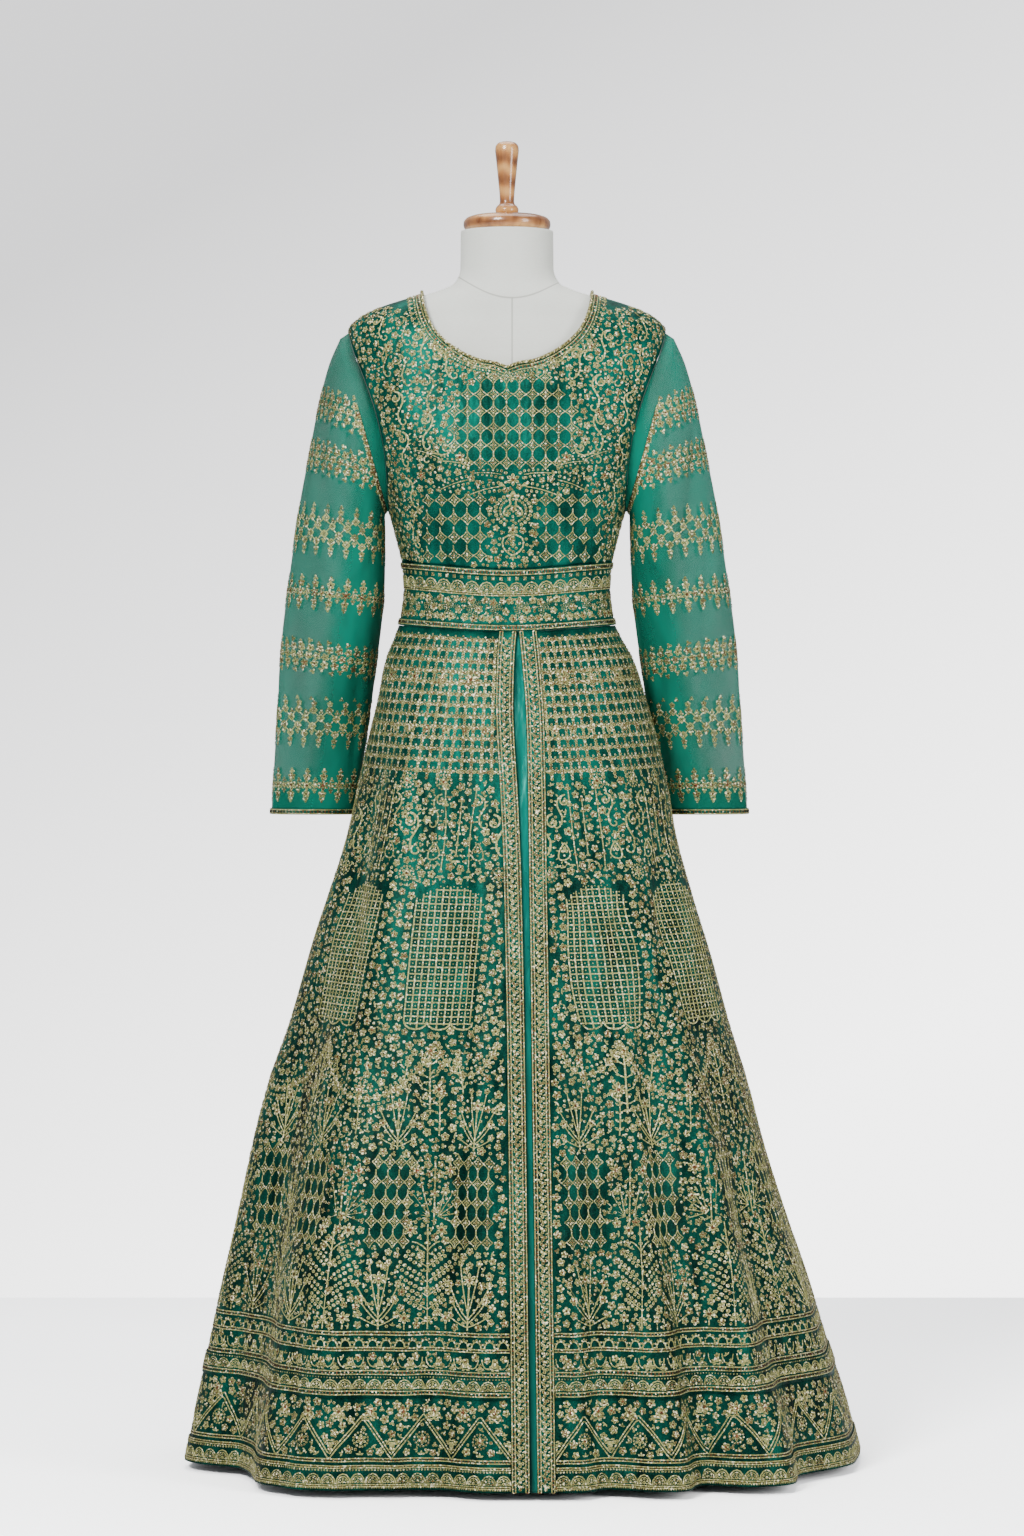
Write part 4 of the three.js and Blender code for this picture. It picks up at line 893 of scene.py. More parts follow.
class Stitches:
    # raised embroidery gathered for one piece or several
    def __init__(self, seed):
        self.points, self.faces, self.marks, self.kinds, self.count = [], [], [], [], 0
        self.chance = np.random.default_rng(seed)

    def add(self, points, faces, marks, kind=0):
        self.points.append(points)
        self.faces.append(faces + self.count)
        self.marks.append(marks)
        self.kinds.append(np.full(len(faces), kind))
        self.count += len(points)

    def lay(self, surface, motif, u, v, turn=0.0, size=1.0, flip=1):
        # copies of a motif, upright on the surface where turn is 0, bent to follow it
        u, v, turn, size, flip = [np.atleast_1d(a) for a in np.broadcast_arrays(
            np.asarray(u, float), np.asarray(v, float), turn, size, flip)]
        if not len(u):
            return
        points, faces, marks = motif
        c, s = np.cos(np.radians(turn))[:, None], np.sin(np.radians(turn))[:, None]
        x, y = points[None, :, 0] * (size * flip)[:, None], points[None, :, 1] * size[:, None]
        base = surface.read(u, v)
        normal = base[:, 3:6]
        right = unit(np.cross((0, 0, 1), normal))
        above = np.cross(normal, right)
        move = (right[:, None] * (x * c - y * s)[..., None] + above[:, None] * (x * s + y * c)[..., None])
        stepU, stepV = surface.steps(base[:, None], move)
        found = surface.read(u[:, None] + stepU, v[:, None] + stepV)
        placed = found[..., :3] + found[..., 3:6] * points[None, :, 2:3]
        turned = np.where((flip < 0)[:, None, None], faces[None, :, ::-1], faces[None])
        copies = turned + (np.arange(len(u)) * len(points))[:, None, None]
        own = np.repeat(self.chance.random(len(u)), len(points))
        self.add(placed.reshape(-1, 3), copies.reshape(-1, 3),
                 np.column_stack([np.tile(marks, len(u)), own]))

    def run(self, surface, u, v, width=1.4, height=0.8, mark=0.85, step=5.0, aside=0.0):
        # a cord along a path of the surface, aside millimetres to the left of it
        found, _, left, normal = along(surface, *even(surface, u, v, step))
        middle = found[:, :3] + left * aside
        points = np.stack([middle - left * width / 2 + normal * 0.05, middle + normal * height,
                           middle + left * width / 2 + normal * 0.05], 1).reshape(-1, 3)
        self.add(points, ridge(len(found)), np.column_stack([
            np.full(len(points), mark), np.repeat(self.chance.random(len(found)), 3)]))

    def ladder(self, surface, u, v, wide, pitch=4.4, step=5.0):
        # two cords with rungs between them
        for aside in (-wide / 2, wide / 2):
            self.run(surface, u, v, 1.25, 0.9, 0.9, step, aside)
        found, ahead, left, normal = along(surface, *even(surface, u, v, pitch))
        ends = [found[:, :3] + left * a * wide / 2 + ahead * b * 0.75 + normal * h for a, b, h in
                ((-1, -1, 0.1), (-1, 1, 0.1), (1, 1, 0.1), (1, -1, 0.1), (0, 0, 0.75))]
        points = np.stack(ends, 1).reshape(-1, 3)
        i = np.arange(len(found))[:, None] * 5
        faces = np.concatenate([i + (4, 1, 0), i + (4, 2, 1), i + (4, 3, 2), i + (4, 0, 3)])
        self.add(points, faces, np.column_stack([
            np.full(len(points), 0.2), np.repeat(self.chance.random(len(found)), 5)]))

    def gathered(self):
        return (np.concatenate(self.points), np.concatenate(self.faces), np.concatenate(self.marks),
                np.concatenate(self.kinds))


def even(surface, u, v, step):
    # the same path with equal steps along the surface
    u, v = np.broadcast_arrays(np.asarray(u, float), np.asarray(v, float))
    found = surface.read(u, v)[:, :3]
    length = distances(found)
    at = np.linspace(0, length[-1], max(2, int(round(length[-1] / step)) + 1))
    return np.interp(at, length, u), np.interp(at, length, v)


def along(surface, u, v):
    # the surface along a path, with its directions ahead, to the left and outwards
    found = surface.read(u, v)
    ahead = unit(np.gradient(found[:, :3], axis=0))
    return found, ahead, unit(np.cross(found[:, 3:6], ahead)), found[:, 3:6]


def offsetPath(surface, u, v, distance):
    # a path moved to its left along the surface
    found, _, left, _ = along(surface, u, v)
    stepU, stepV = surface.steps(found, left * distance)
    return u + stepU, v + stepV


def scatter(surface, stitches, uEnds, vEnds, spacing, reach, seed, keep=None):
    # places at least spacing apart, none within reach of thread that is already there
    chance = np.random.default_rng(seed)
    span = np.linalg.norm(np.cross(surface.table[..., 6:9], surface.table[..., 9:12]), axis=-1)
    count = int(span.mean() * (uEnds[1] - uEnds[0]) * (vEnds[1] - vEnds[0]) / spacing**2 * 7)
    u, v = chance.uniform(*uEnds, count * 2), chance.uniform(*vEnds, count * 2)
    found = surface.read(u, v)
    area = np.linalg.norm(np.cross(found[:, 6:9], found[:, 9:12]), axis=-1)
    kept = chance.random(len(u)) < area / np.percentile(span, 98)
    if keep is not None:
        kept &= keep(u, v)
    u, v, found = u[kept], v[kept], found[kept]
    cell = 3.0
    key = lambda p: np.floor(p / cell).astype(np.int64) @ (1, 4096, 16777216)  # one number a cell
    if stitches.points:
        points, faces = np.concatenate(stitches.points), np.concatenate(stitches.faces)
        centres = np.concatenate([points, points[faces].mean(1)])
        taken = np.unique(key(centres))
        ahead = unit(np.cross(found[:, 3:6], (0, 0, 1)))
        above = np.cross(ahead, found[:, 3:6])
        free = ~np.isin(key(found[:, :3]), taken)
        for a in np.arange(0, 360, 60):
            aside = ahead * np.cos(np.radians(a)) + above * np.sin(np.radians(a))
            free &= ~np.isin(key(found[:, :3] + aside * reach), taken)
        u, v, found = u[free], v[free], found[free]
    cells, chosen = {}, []
    near = [(a, b, c) for a in (-1, 0, 1) for b in (-1, 0, 1) for c in (-1, 0, 1)]
    places = found[:, :3]
    boxes = np.floor(places / spacing).astype(int)
    for i, (box, place) in enumerate(zip(map(tuple, boxes.tolist()), places.tolist())):
        close = (cells.get((box[0] + a, box[1] + b, box[2] + c)) for a, b, c in near)
        if all(q is None or sum((m - n) ** 2 for m, n in zip(q, place)) > spacing**2 for q in close):
            cells[box] = place
            chosen.append(i)
    return u[chosen], v[chosen]


# places on the skirt
slitLevels = np.linspace(hemLevel, waistLevel, 200)
slitFront = -skirtPoint(270, slitLevels)[:, 1]


def angleAtX(x, level):
    return 270 + np.degrees(np.arctan2(x, np.interp(level, slitLevels, slitFront)))


def slitEdge(side, level):
    # the angle of the slit's left (-1) or right (1) edge, or of its middle (0)
    x, gap = columnAt(slitRows, 1, level), columnAt(slitRows, 2, level)
    return angleAtX(x + side * gap / 2, level)


def sideAngle(side, psi, level):
    # psi runs from the slit (0) to the middle of the back (180) on either side
    slit = slitEdge(0, level)
    end = 90 if side < 0 else 450
    return slit + (end - slit) * np.asarray(psi, float) / 180


skirtLook = {
    "border": 21.0,  # width of the borders beside the slit
    "panels": (27, 61, 96, 131, 166), "panelTop": 690, "panelFoot": 522,  # the net panels, in psi
    "lattices": (14.6, 34.0, 53.4, 72.8, 92.2, 111.6, 131.0, 150.4, 169.8),
    "trees": (24.3, 43.7, 63.1, 82.5, 101.9, 121.3, 140.7, 160.1),
    "floret": 10.0, "bud": 6.2, "loop": 6.0, "seed": 11, "mesh": 8.0, "meshHalf": 42.0}
gold = Stitches(skirtLook["seed"])
panelTop, panelFoot = skirtLook["panelTop"], skirtLook["panelFoot"]


def spotsRound(side, level, pitch, phase=0.5):
    # evenly spaced angles from the slit's border to the middle of the back, at about a pitch
    angle = sideAngle(side, np.linspace(0, 180, 721), level)
    arc = distances(skirt.read(angle, level)[:, :3])
    start = columnAt(slitRows, 2, level) / 2 + skirtLook["border"]
    count = max(1, int(round((arc[-1] - start) / pitch)))
    return np.interp(start + (np.arange(count) + phase) * (arc[-1] - start) / count, arc, angle)


def beside(angle, level, x):
    # the angle x millimetres beside another
    return angle + x / skirt.lengths(angle, level)[0]


def ringPath(side, level):
    start = beside(slitEdge(side, level), level, side * (skirtLook["border"] + 0.8))
    return np.linspace(start, 90 if side < 0 else 450, 400)


def sew(motif, side, psi, level, turn=0, size=1.0, flip=1, x=0.0):
    # copies of a motif on the skirt, x millimetres beside psi
    gold.lay(skirt, motif, beside(sideAngle(side, psi, level), level, x), level, turn, size, flip)


for side in bothSides:
    # trellis below the waist: loops in upright and level chains
    for psi in np.arange(9.5, 180, 4.7):
        levels = np.arange(972, 806, -12.8)
        for motif, shift, drop, turn, size in (
                (crossing, 0, 0, 45, 1.0), (loop, 0, -4.6, 0, 0.98), (loop, 0, -8.4, 0, 0.98),
                (loop, 1.55, 0, 0, 1.0), (loop, 3.15, 0, 0, 1.0), (petal, 2.35, 3.6, 90, 0.7)):
            sew(motif, side, psi + shift, levels + drop, turn, size)
print("trellis laid", gold.count)


def band(level, motif, pitch, size=1.0, phase=0.5):
    for side in bothSides:
        gold.lay(skirt, motif, spotsRound(side, level, pitch, phase), level, 0, size, side)


def ladderRound(level, wide):
    for side in bothSides:
        gold.ladder(skirt, ringPath(side, level), level, wide)


# rows of ornaments over the hem, downwards
ladderRound(183.5, 3.4)
band(168.5, beadArch(), 15.5, 1.05)
ladderRound(166, 3.0)
band(145, bouquetMotif, 34, 0.78)
band(144, bouquetMotif, 34, 0.5, 0)
for phase in (0.25, 0.75):
    band(157, arch(13, -11), 34, 1.0, phase)
ladderRound(140, 4.2)
band(97, star, 37, 1.1)
band(88, bouquetMotif, 37, 1.0)
for side in bothSides:
    # chevrons: peaks and valleys at half a pitch
    spots = spotsRound(side, 70, 35.5, 0)
    levels = np.where(np.arange(len(spots)) % 2 == 0, 47.0, 92.0)
    u, v = [np.concatenate([np.linspace(a, b, 8)[:-1] for a, b in zip(ends, ends[1:])])
            for ends in (spots, levels)]
    for shift in (-2.6, 2.6):
        gold.run(skirt, u, v + shift, 1.5, 0.9)
    gold.lay(skirt, medallion, spots[1::2], 66.0, 0, 0.85)
    gold.lay(skirt, bouquetMotif, spots[0::2], 66.0, 180, 0.8)
    gold.lay(skirt, trefoil, spots[1::2], 49.0, 0, 1.0)
ladderRound(43.5, 3.2)
print("hem rows laid", gold.count)


def netPanel(side, psi):
    # square net with a dot in each hole, arched above and cusped below
    mesh, half = skirtLook["mesh"], skirtLook["meshHalf"]
    lines = np.arange(-half, half + 1, mesh)
    for x in lines:
        top = panelTop - 14 * (x / half) ** 2 - 4
        foot = panelFoot + 10 * abs(np.sin(np.pi * x / 28))
        levels = np.linspace(top, foot, 40)
        gold.run(skirt, beside(sideAngle(side, psi, levels), levels, x), levels, 1.7, 0.8, 0.9, 7)
    for level in np.arange(panelFoot + 8, panelTop - 4, mesh):
        wide = half if level < panelTop - 22 else half * np.sqrt(max(0.02, (panelTop - 4 - level) / 18))
        middle = sideAngle(side, psi, level)
        across = beside(middle, level, np.linspace(-wide, wide, 14))
        gold.run(skirt, across, np.full(14, level), 1.5, 0.75, 0.9, 7)
        holes = lines[:-1] + mesh / 2
        dots = beside(middle, level, holes[np.abs(holes) < wide])
        gold.lay(skirt, cone(0.9, 0.9, 0.7, 4, 0.9, 1.0), dots, level + 4)
    # cusps with drops, and garlands down both sides
    middle = sideAngle(side, psi, panelFoot)
    for x in (-28, 0, 28):
        u = beside(middle, panelFoot, x)
        gold.lay(skirt, arch(27, -9, 1.9), u, panelFoot + 10)
        gold.lay(skirt, bud, u, panelFoot - 5)
    levels = np.arange(panelTop - 4, panelFoot - 12, -11.5)
    for x in (-49, 49):
        sew(floret, side, psi, levels, np.arange(len(levels)) * 37, 0.95, 1, x)
    # above: garlands that hang, paisleys and scrolls
    for x, top, foot in ((-17, 800, 704), (17, 800, 704), (0, 786, 722)):
        levels = np.linspace(top, foot, 11)
        u = beside(sideAngle(side, psi, levels), levels, x)
        gold.run(skirt, u, levels, 1.3)
        gold.lay(skirt, bud, u[::2], levels[::2], 0, np.linspace(1.2, 0.8, 6))
        gold.lay(skirt, trefoil, u[-1:], levels[-1:] - 6, 180, 1.2)
    for flip in (-1, 1):
        sew(paisleyMotif, side, psi, 724, 0, 1.15, flip, flip * 30)
        sew(scrollMotif, side, psi, 772, 0, 1.0, -flip, flip * 29.4)


for side in bothSides:
    # motifs that repeat from panel to panel, mirrored about the slit
    for psi in skirtLook["panels"]:
        netPanel(side, psi)
    for psi in (10, 44, 78.5, 113.5, 148.5):
        sew(scrollMotif, side, psi, 745, 0, 1.25, side)
        sew(medallion, side, psi, 700, 0, 0.9)
    # medallions on the trellis, and stars under it
    for psi in np.arange(27, 178, 15.5):
        sew(medallion, side, psi, 926, 0, 1.05)
        sew(medallion, side, psi + 7.7, 806, 0, 0.9)
    gold.lay(skirt, floret, spotsRound(side, 866, 24), 866)
    for start, end, dip in zip((9, 27, 61, 96, 131), skirtLook["panels"], (34, 62, 62, 62, 62)):
        # garlands that hang from the foot of each net panel to the next
        share = np.linspace(0, 1, 200)
        swag = sideAngle(side, mix(start, end, share), 506), 506 - dip * np.sin(np.pi * share) ** 0.8
        gold.run(skirt, *swag, 1.6, 1.0)
        for drop, motif, pitch, size in (
                (0, floret, 11.5, 1.0), (-8.5, petal, 6.0, 1.0), (8.0, petal, 6.0, 0.9)):
            gold.lay(skirt, motif, *even(skirt, swag[0], swag[1] + drop, pitch), 0, size)
    for psi in skirtLook["lattices"]:
        # four columns of tall diamonds over a bush and under another
        for row, level in enumerate(np.arange(374, 280, -22)):
            x = np.array([-19.5, -6.5, 6.5, 19.5])
            sew(diamond(13, 16, 22 if row else 0), side, psi, level, x=x)
        sew(bush(), side, psi, 188, 0, 1.05, side)
        sew(bush(), side, psi, 388, 0, 0.95, side)
    for psi in skirtLook["trees"]:
        sew(treeFoot(), side, psi, 188, 0, 1.0, side)
        sew(treeMiddle(), side, psi, 304, 0, 1.0, side)
        sew(sprig(44, 5, star), side, psi, 404, 0, 1.15)
    for psi in skirtLook["panels"]:
        sew(tree(58, 4, 16, star), side, psi, 434, 0, 1.05, side)
        sew(sprig(34, 4, floret), side, psi - 8.5, 452, 16, 1.1)
        sew(sprig(34, 4, floret), side, psi + 8.5, 452, -16, 1.1)
print("panels laid", gold.count)


def besideSlit(u, v):
    # true outside the borders, the braided bands, the net panels and the lattices
    angle = np.mod(u, 360)
    side = np.where((angle > 90) & (angle < slitEdge(0, v)), -1, 1)
    edge = slitEdge(side, v)
    gap = np.abs(angle - edge) * skirt.lengths(edge, v)[0]
    clear = (gap > skirtLook["border"] + 5) | (np.abs(angle - 277) > 20)
    for low, high in ((6, 48), (108, 145), (160, 190), (806, 990)):
        clear &= (v < low) | (v > high)
    for places, half, low, high in (
            (skirtLook["panels"], 45, panelFoot, panelTop), (skirtLook["lattices"], 29, 280, 382)):
        for psi in places:
            for s in bothSides:
                middle = sideAngle(s, psi, v)
                off = (np.mod(angle - middle + 180, 360) - 180) * skirt.lengths(middle, v)[0]
                clear &= ~((np.abs(off) < half) & (v > low) & (v < high))
    return clear


def fillSkirt(spacing, reach, seed):
    return scatter(skirt, gold, (0, 360), (50, 806), spacing, reach, seed, besideSlit)


u, v = fillSkirt(skirtLook["floret"], 3.0, 5)
gold.lay(skirt, floret, u, v, gold.chance.uniform(0, 72, len(u)), gold.chance.uniform(0.78, 1.04, len(u)))
print("florets", len(u))
u, v = fillSkirt(skirtLook["bud"], 2.3, 6)
turns, half = gold.chance.uniform(0, 360, len(u)), len(u) // 2
gold.lay(skirt, trefoil, u[:half], v[:half], turns[:half], 0.85)
gold.lay(skirt, bud, u[half:], v[half:], turns[half:], 0.9)
print("buds", len(u))
u, v = fillSkirt(skirtLook["loop"], 1.9, 7)
gold.lay(skirt, loop, u, v, 0, gold.chance.uniform(0.75, 1.0, len(u)))
print("loops", len(u), "skirt points", gold.count)

skirtCloth = {"columns": 92, "rows": 84, "wall": 1.1}


def skirtGrid(left, right):
    # columns between two edges that are functions of the level, rows from the hem to the waist
    level = np.concatenate([[10, 12], np.linspace(16, waistLevel, skirtCloth["rows"])])[:, None]
    angle = mix(left(level), right(level), np.linspace(0, 1, skirtCloth["columns"])[None, :])
    return skirtPoint(angle, level)


def seamAt(angle, sign):
    return lambda level: angle + sign * np.degrees(seamHalf / np.linalg.norm(
        skirtPoint(angle, level)[..., :2], axis=-1))


skirtPanels = {
    "front_left": (seamAt(180, 1), lambda level: slitEdge(-1, level)),
    "front_right": (lambda level: slitEdge(1, level), seamAt(360, -1)),
    "back_left": (seamAt(90, 1), seamAt(180, -1)),
    "back_right": (seamAt(0, 1), seamAt(90, -1))}
sewn = gold.gathered()
centres = sewn[0][sewn[1]].mean(1)
centreAngle = np.mod(np.degrees(np.arctan2(centres[:, 1], centres[:, 0])), 360)
slitOf = np.interp(centres[:, 2], slitLevels, slitEdge(0, slitLevels))
panelOf = np.select([centreAngle < 90, centreAngle < 180, centreAngle < slitOf], [3, 2, 0], 1)


def cutOut(name, sewn, chosen):
    # the chosen triangles as a piece of their own
    points, faces, marks, _ = sewn
    used, renumbered = np.unique(faces[chosen], return_inverse=True)
    return makePiece(name, points[used], renumbered.reshape(-1, 3), [zari], "zari_trim", marks[used])


def clothPiece(name, node, grid, wall=1.0):
    piece = makeSheet(name, grid, satin, "satin_embroidered", wall)
    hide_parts(node)
    return piece


skirtSheets = {}
for index, (name, edges) in enumerate(skirtPanels.items()):
    sheet = clothPiece(f"skirt_{name}_cloth", f"skirt_{name}", skirtGrid(*edges), skirtCloth["wall"])
    low = centres[:, 2] < 300
    threads = [cutOut(f"skirt_{name}_thread_{word}", sewn, np.flatnonzero((panelOf == index) & part))
               for word, part in (("low", low), ("high", ~low))]
    skirtSheets[name] = (sheet, threads)
    print(name, "made")


def trimPiece(name, node, outer, inner, stitches, mark, closed=False):
    # a strip between an outer and an inner grid, with its embroidery, as one piece
    rows, columns = outer.shape[:2]
    count, quads = rows * columns, gridFaces(rows, columns, closed)
    foot, head = np.arange(columns), np.arange(columns) + (rows - 1) * columns
    if closed:
        rim = np.concatenate([foot, np.roll(head, -1)])
        following = np.concatenate([np.roll(foot, -1), head])
    else:
        up = np.arange(1, rows - 1) * columns
        rim = np.concatenate([foot, up + columns - 1, head[::-1], up[::-1]])
        following = np.roll(rim, -1)
    walls = np.stack([rim + count, following + count, following, rim], 1)
    stitches.add(np.concatenate([outer.reshape(-1, 3), inner.reshape(-1, 3)]),
                 triangles(np.concatenate([quads, quads[:, ::-1] + count, walls])),
                 np.tile([mark, 0.5], (2 * count, 1)), 1)
    points, faces, marks, kinds = stitches.gathered()
    piece = makePiece(name, points, faces, [zari, satin], "zari_trim", marks, kinds)
    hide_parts(node)
    return piece


def borderPiece(name, node, grid, stitches):
    normal = unit(np.cross(np.gradient(grid, axis=1), np.gradient(grid, axis=0)))
    return trimPiece(name, node, grid, grid - normal * trimWall, stitches, 0.85)


class Lifted:
    # a surface moved out, for what lies on a border
    def __init__(self, surface, out):
        self.surface, self.out, self.table = surface, out, surface.table

    def read(self, u, v):
        found = self.surface.read(u, v).copy()
        found[..., :3] += found[..., 3:6] * self.out
        return found

    def steps(self, found, move):
        return self.surface.steps(found, move)


raised = Lifted(skirt, liftOut)
width = skirtLook["border"]

# borders beside the slit: a ladder at each edge with small flowers and points between
slitBorders = []
for side, word in ((-1, "left"), (1, "right")):
    edge = slitEdge(side, slitLevels)
    strip = Stitches(20 + side)
    for place in (3.0, width - 3.0):
        strip.ladder(raised, beside(edge, slitLevels, side * place), slitLevels, 3.4)
    spots = np.arange(16, 976, 8.6)
    at = slitEdge(side, spots)
    strip.lay(raised, bud, beside(at, spots, side * width / 2), spots, 45, 1.25)
    for place in (width / 2 - 4.6, width / 2 + 4.6):
        strip.lay(raised, cone(2.6, 1.4, 0.9, 4, 0.3, 1.0), beside(at, spots, side * place), spots + 4.3)
    rows = np.linspace(hemLevel, waistLevel, 190)[:, None]
    across = np.linspace(0, width, 7)[None, :] * side
    grid = raised.read(beside(slitEdge(side, rows), rows, across), rows)[..., :3]
    slitBorders.append(borderPiece(
        f"slit_border_{word}_trim", f"slit_border_{word}", grid if side > 0 else grid[:, ::-1], strip))


def roundBand(name, node, low, high, seed, rows, ladders):
    # a band from the right border round the back to the left one, with its rows and ladders
    made = Stitches(seed)
    for side in bothSides:
        for level, motif, pitch, size in rows:
            made.lay(raised, motif, spotsRound(side, level, pitch), level, 0, size, side)
        for level, wide in ladders:
            made.ladder(raised, ringPath(side, level), level, wide)
    level = np.linspace(low, high, 4)[:, None]
    left, right = [beside(slitEdge(side, level), level, side * (width + 1)) for side in bothSides]
    angle = mix(right, left + 360, np.linspace(0, 1, 620)[None, :])
    return borderPiece(name, node, raised.read(angle, level)[..., :3], made)


hemBand = roundBand(
    "hem_border_trim", "hem_border", 10, 38, 31,
    [(17.8, filledScallop, 17, 0.86), (32.5, bead, 3.6, 1.15), (12.8, bead, 2.8, 0.9)],
    [(36, 2.4), (15.2, 2.2)])
skirtBand = roundBand(
    "skirt_band_trim", "skirt_band", 112, 136, 32,
    [(121.5, filledScallop, 17, 0.88), (134.6, bead, 3.6, 0.8)], [(117.5, 4.0)])
print("borders made")


def stripGrid():
    # bright satin from under the slit's left edge to under its right one, behind the panels
    level = np.linspace(hemLevel, waistLevel, 120)[:, None]
    x, gap = columnAt(slitRows, 1, level), columnAt(slitRows, 2, level)
    across = mix(x - gap / 2 - 14, x + gap / 2 + 10, np.linspace(0, 1, 14)[None, :])
    angle = angleAtX(across, level)
    return skirtPoint(angle, level) - outward(skirtPoint, angle, level + 0 * angle, 0.2, 1.0) * 2.3


underStrip = makeSheet("slit_strip", stripGrid(), brightSatin, "plain_satin", 0.8)
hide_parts("slit_underlap")


def angleAcross(x, z, facing):
    # the angle of a torso point in front (-1) or behind (1) at a given x and height
    square, side = columnAt(torsoRows, 4, z), columnAt(torsoRows, 1, z)
    depth = columnAt(torsoRows, 2 if facing < 0 else 3, z)
    inside = np.maximum(0, 1 - np.abs(x / side) ** square)
    return np.mod(np.degrees(np.arctan2(facing * depth * inside ** (1 / square), x)), 360)


def armholePlace(share, side, facing):
    z = mix(1125, 1342, share)
    bow = 12 * np.sin(np.pi * np.clip(share, 0, 1))
    return angleAcross(side * (columnAt(torsoRows, 1, z) - bow), z, facing), z


def sideShare(z):
    # how far from the middle (0) to the side (1) a panel reaches at its seam
    return 1 - np.degrees(seamHalf / columnAt(torsoRows, 1, z)) / 90


def acrossOf(angle, z, facing):
    # turns from the middle of the front or back (0) to the side seam (1)
    wrapped = np.where((angle < 90) & (facing < 0), angle + 360, angle)
    return np.minimum((wrapped - middleAngle(facing)) / 90, sideShare(z))


def sideEdge(v, facing):
    # up the side seam to the armhole's foot, then round the armhole
    low, foot = v <= 3 / 11, mix(1068.3, 1125, v * 11 / 3)
    share = (1 - np.cos(np.pi * np.clip((v - 3 / 11) / (8 / 11), 0, 1))) / 2
    angle, z = armholePlace(share, -facing, facing)
    return np.where(low, sideShare(foot), acrossOf(angle, z, facing)), np.where(low, foot, z)


neckShare = 0.72  # the part of a panel's top edge that is neckline; the rest is shoulder


def topEdge(q, facing):
    # along the neckline and then the shoulder seam
    neck = frontNeck if facing < 0 else backNeck
    rows = np.vstack([
        np.column_stack([np.arange(len(neck)) / len(neck) * neckShare, neck]), (neckShare, 100, 1385)])
    x, z = columnAt(rows, 1, q), columnAt(rows, 2, q)
    neckAcross = np.maximum(acrossOf(angleAcross(-facing * x, z, facing), z, facing), 0)
    zShoulder = mix(1385, 1342, (q - neckShare) / (1 - neckShare))
    return np.where(q > neckShare, sideShare(zShoulder), neckAcross), np.where(q > neckShare, zShoulder, z)


def halfPanel(u, v, facing):
    # a sheet stretched between its four edges: the yoke seam, the middle, the side and the top
    u, v = u[None, :], v[:, None]
    side, top = sideEdge(v, facing), topEdge(u, facing)
    corner, middleTop = topEdge(np.array([[1.0]]), facing), topEdge(np.array([[0.0]]), facing)
    footSide = sideEdge(np.array([[0.0]]), facing)[0]
    yoke = lambda across: yokeSeam(middleAngle(facing) + 90 * across) + 0.3
    across = (side[0] * u + mix(footSide * u, top[0], v)
              - mix(mix(0, footSide, u), mix(middleTop[0], corner[0], u), v))
    z = (mix(mix(yoke(0), middleTop[1], v), side[1], u) + mix(yoke(footSide * u), top[1], v)
         - mix(mix(yoke(0), yoke(1), u), mix(middleTop[1], corner[1], u), v))
    return across, z


def panelGrid(facing, sides):
    u = np.concatenate([np.linspace(0, neckShare, 34)[:-1], np.linspace(neckShare, 1, 16)])
    across, z = halfPanel(u, np.linspace(0, 1, 58), facing)
    halves = []
    for sign in sides:
        angle = middleAngle(facing) + sign * 90 * across
        if facing > 0:
            angle[:, 0] += sign * np.degrees(seamHalf / 90)  # the gap of the middle seam
        halves.append((angle, z) if sign > 0 else (angle[:, ::-1], z[:, ::-1]))
    if len(halves) == 2:
        halves[0] = halves[0][0][:, :-1], halves[0][1][:, :-1]
    return bodicePoint(*[np.concatenate(parts, 1) for parts in zip(*halves)])


bodicePanels = {
    name: clothPiece(f"bodice_{name}_cloth", f"bodice_{name}", panelGrid(facing, sides))
    for name, facing, sides in (("front", -1, (-1, 1)), ("back_left", 1, (1,)), ("back_right", 1, (-1,)))}


def yokeGrid(facing):
    reach = 90 - np.degrees(seamHalf / 125)
    angle = middleAngle(facing) + np.linspace(-1, 1, 120)[None, :] * reach
    z = mix(waistSeam(angle), yokeSeam(angle), np.linspace(0, 1, 22)[:, None])
    return bodicePoint(angle, z)


yokePanels = {name: clothPiece(f"yoke_{name}_cloth", f"yoke_{name}", yokeGrid(facing))
              for name, facing in (("front", -1), ("back", 1))}
print("bodice cloth made")

bodiceLook = {"middle": 7.0, "columns": 15.2, "rows": 20.1, "floret": 9.0, "bud": 5.6, "loop": 4.8}
top = Stitches(41)


def neckPath(facing, sign):
    # the neckline from the middle to the shoulder seam
    across, z = topEdge(np.linspace(0, neckShare, 80), facing)
    return middleAngle(facing) + sign * 90 * across, z


for facing in (-1, 1):
    for sign in (-1, 1):
        # a ladder, a row of beads and a row of buds along the neckline
        u, z = neckPath(facing, sign)
        top.ladder(bodice, *offsetPath(bodice, u, z, -5.5 * sign), 4.2)
        for distance, motif, pitch, turn, size in ((10.5, bead, 3.6, 0, 1.3), (15.5, bud, 8.0, 45, 1.05)):
            path = even(bodice, *offsetPath(bodice, u, z, -distance * sign), pitch)
            top.lay(bodice, motif, *path, turn, size)

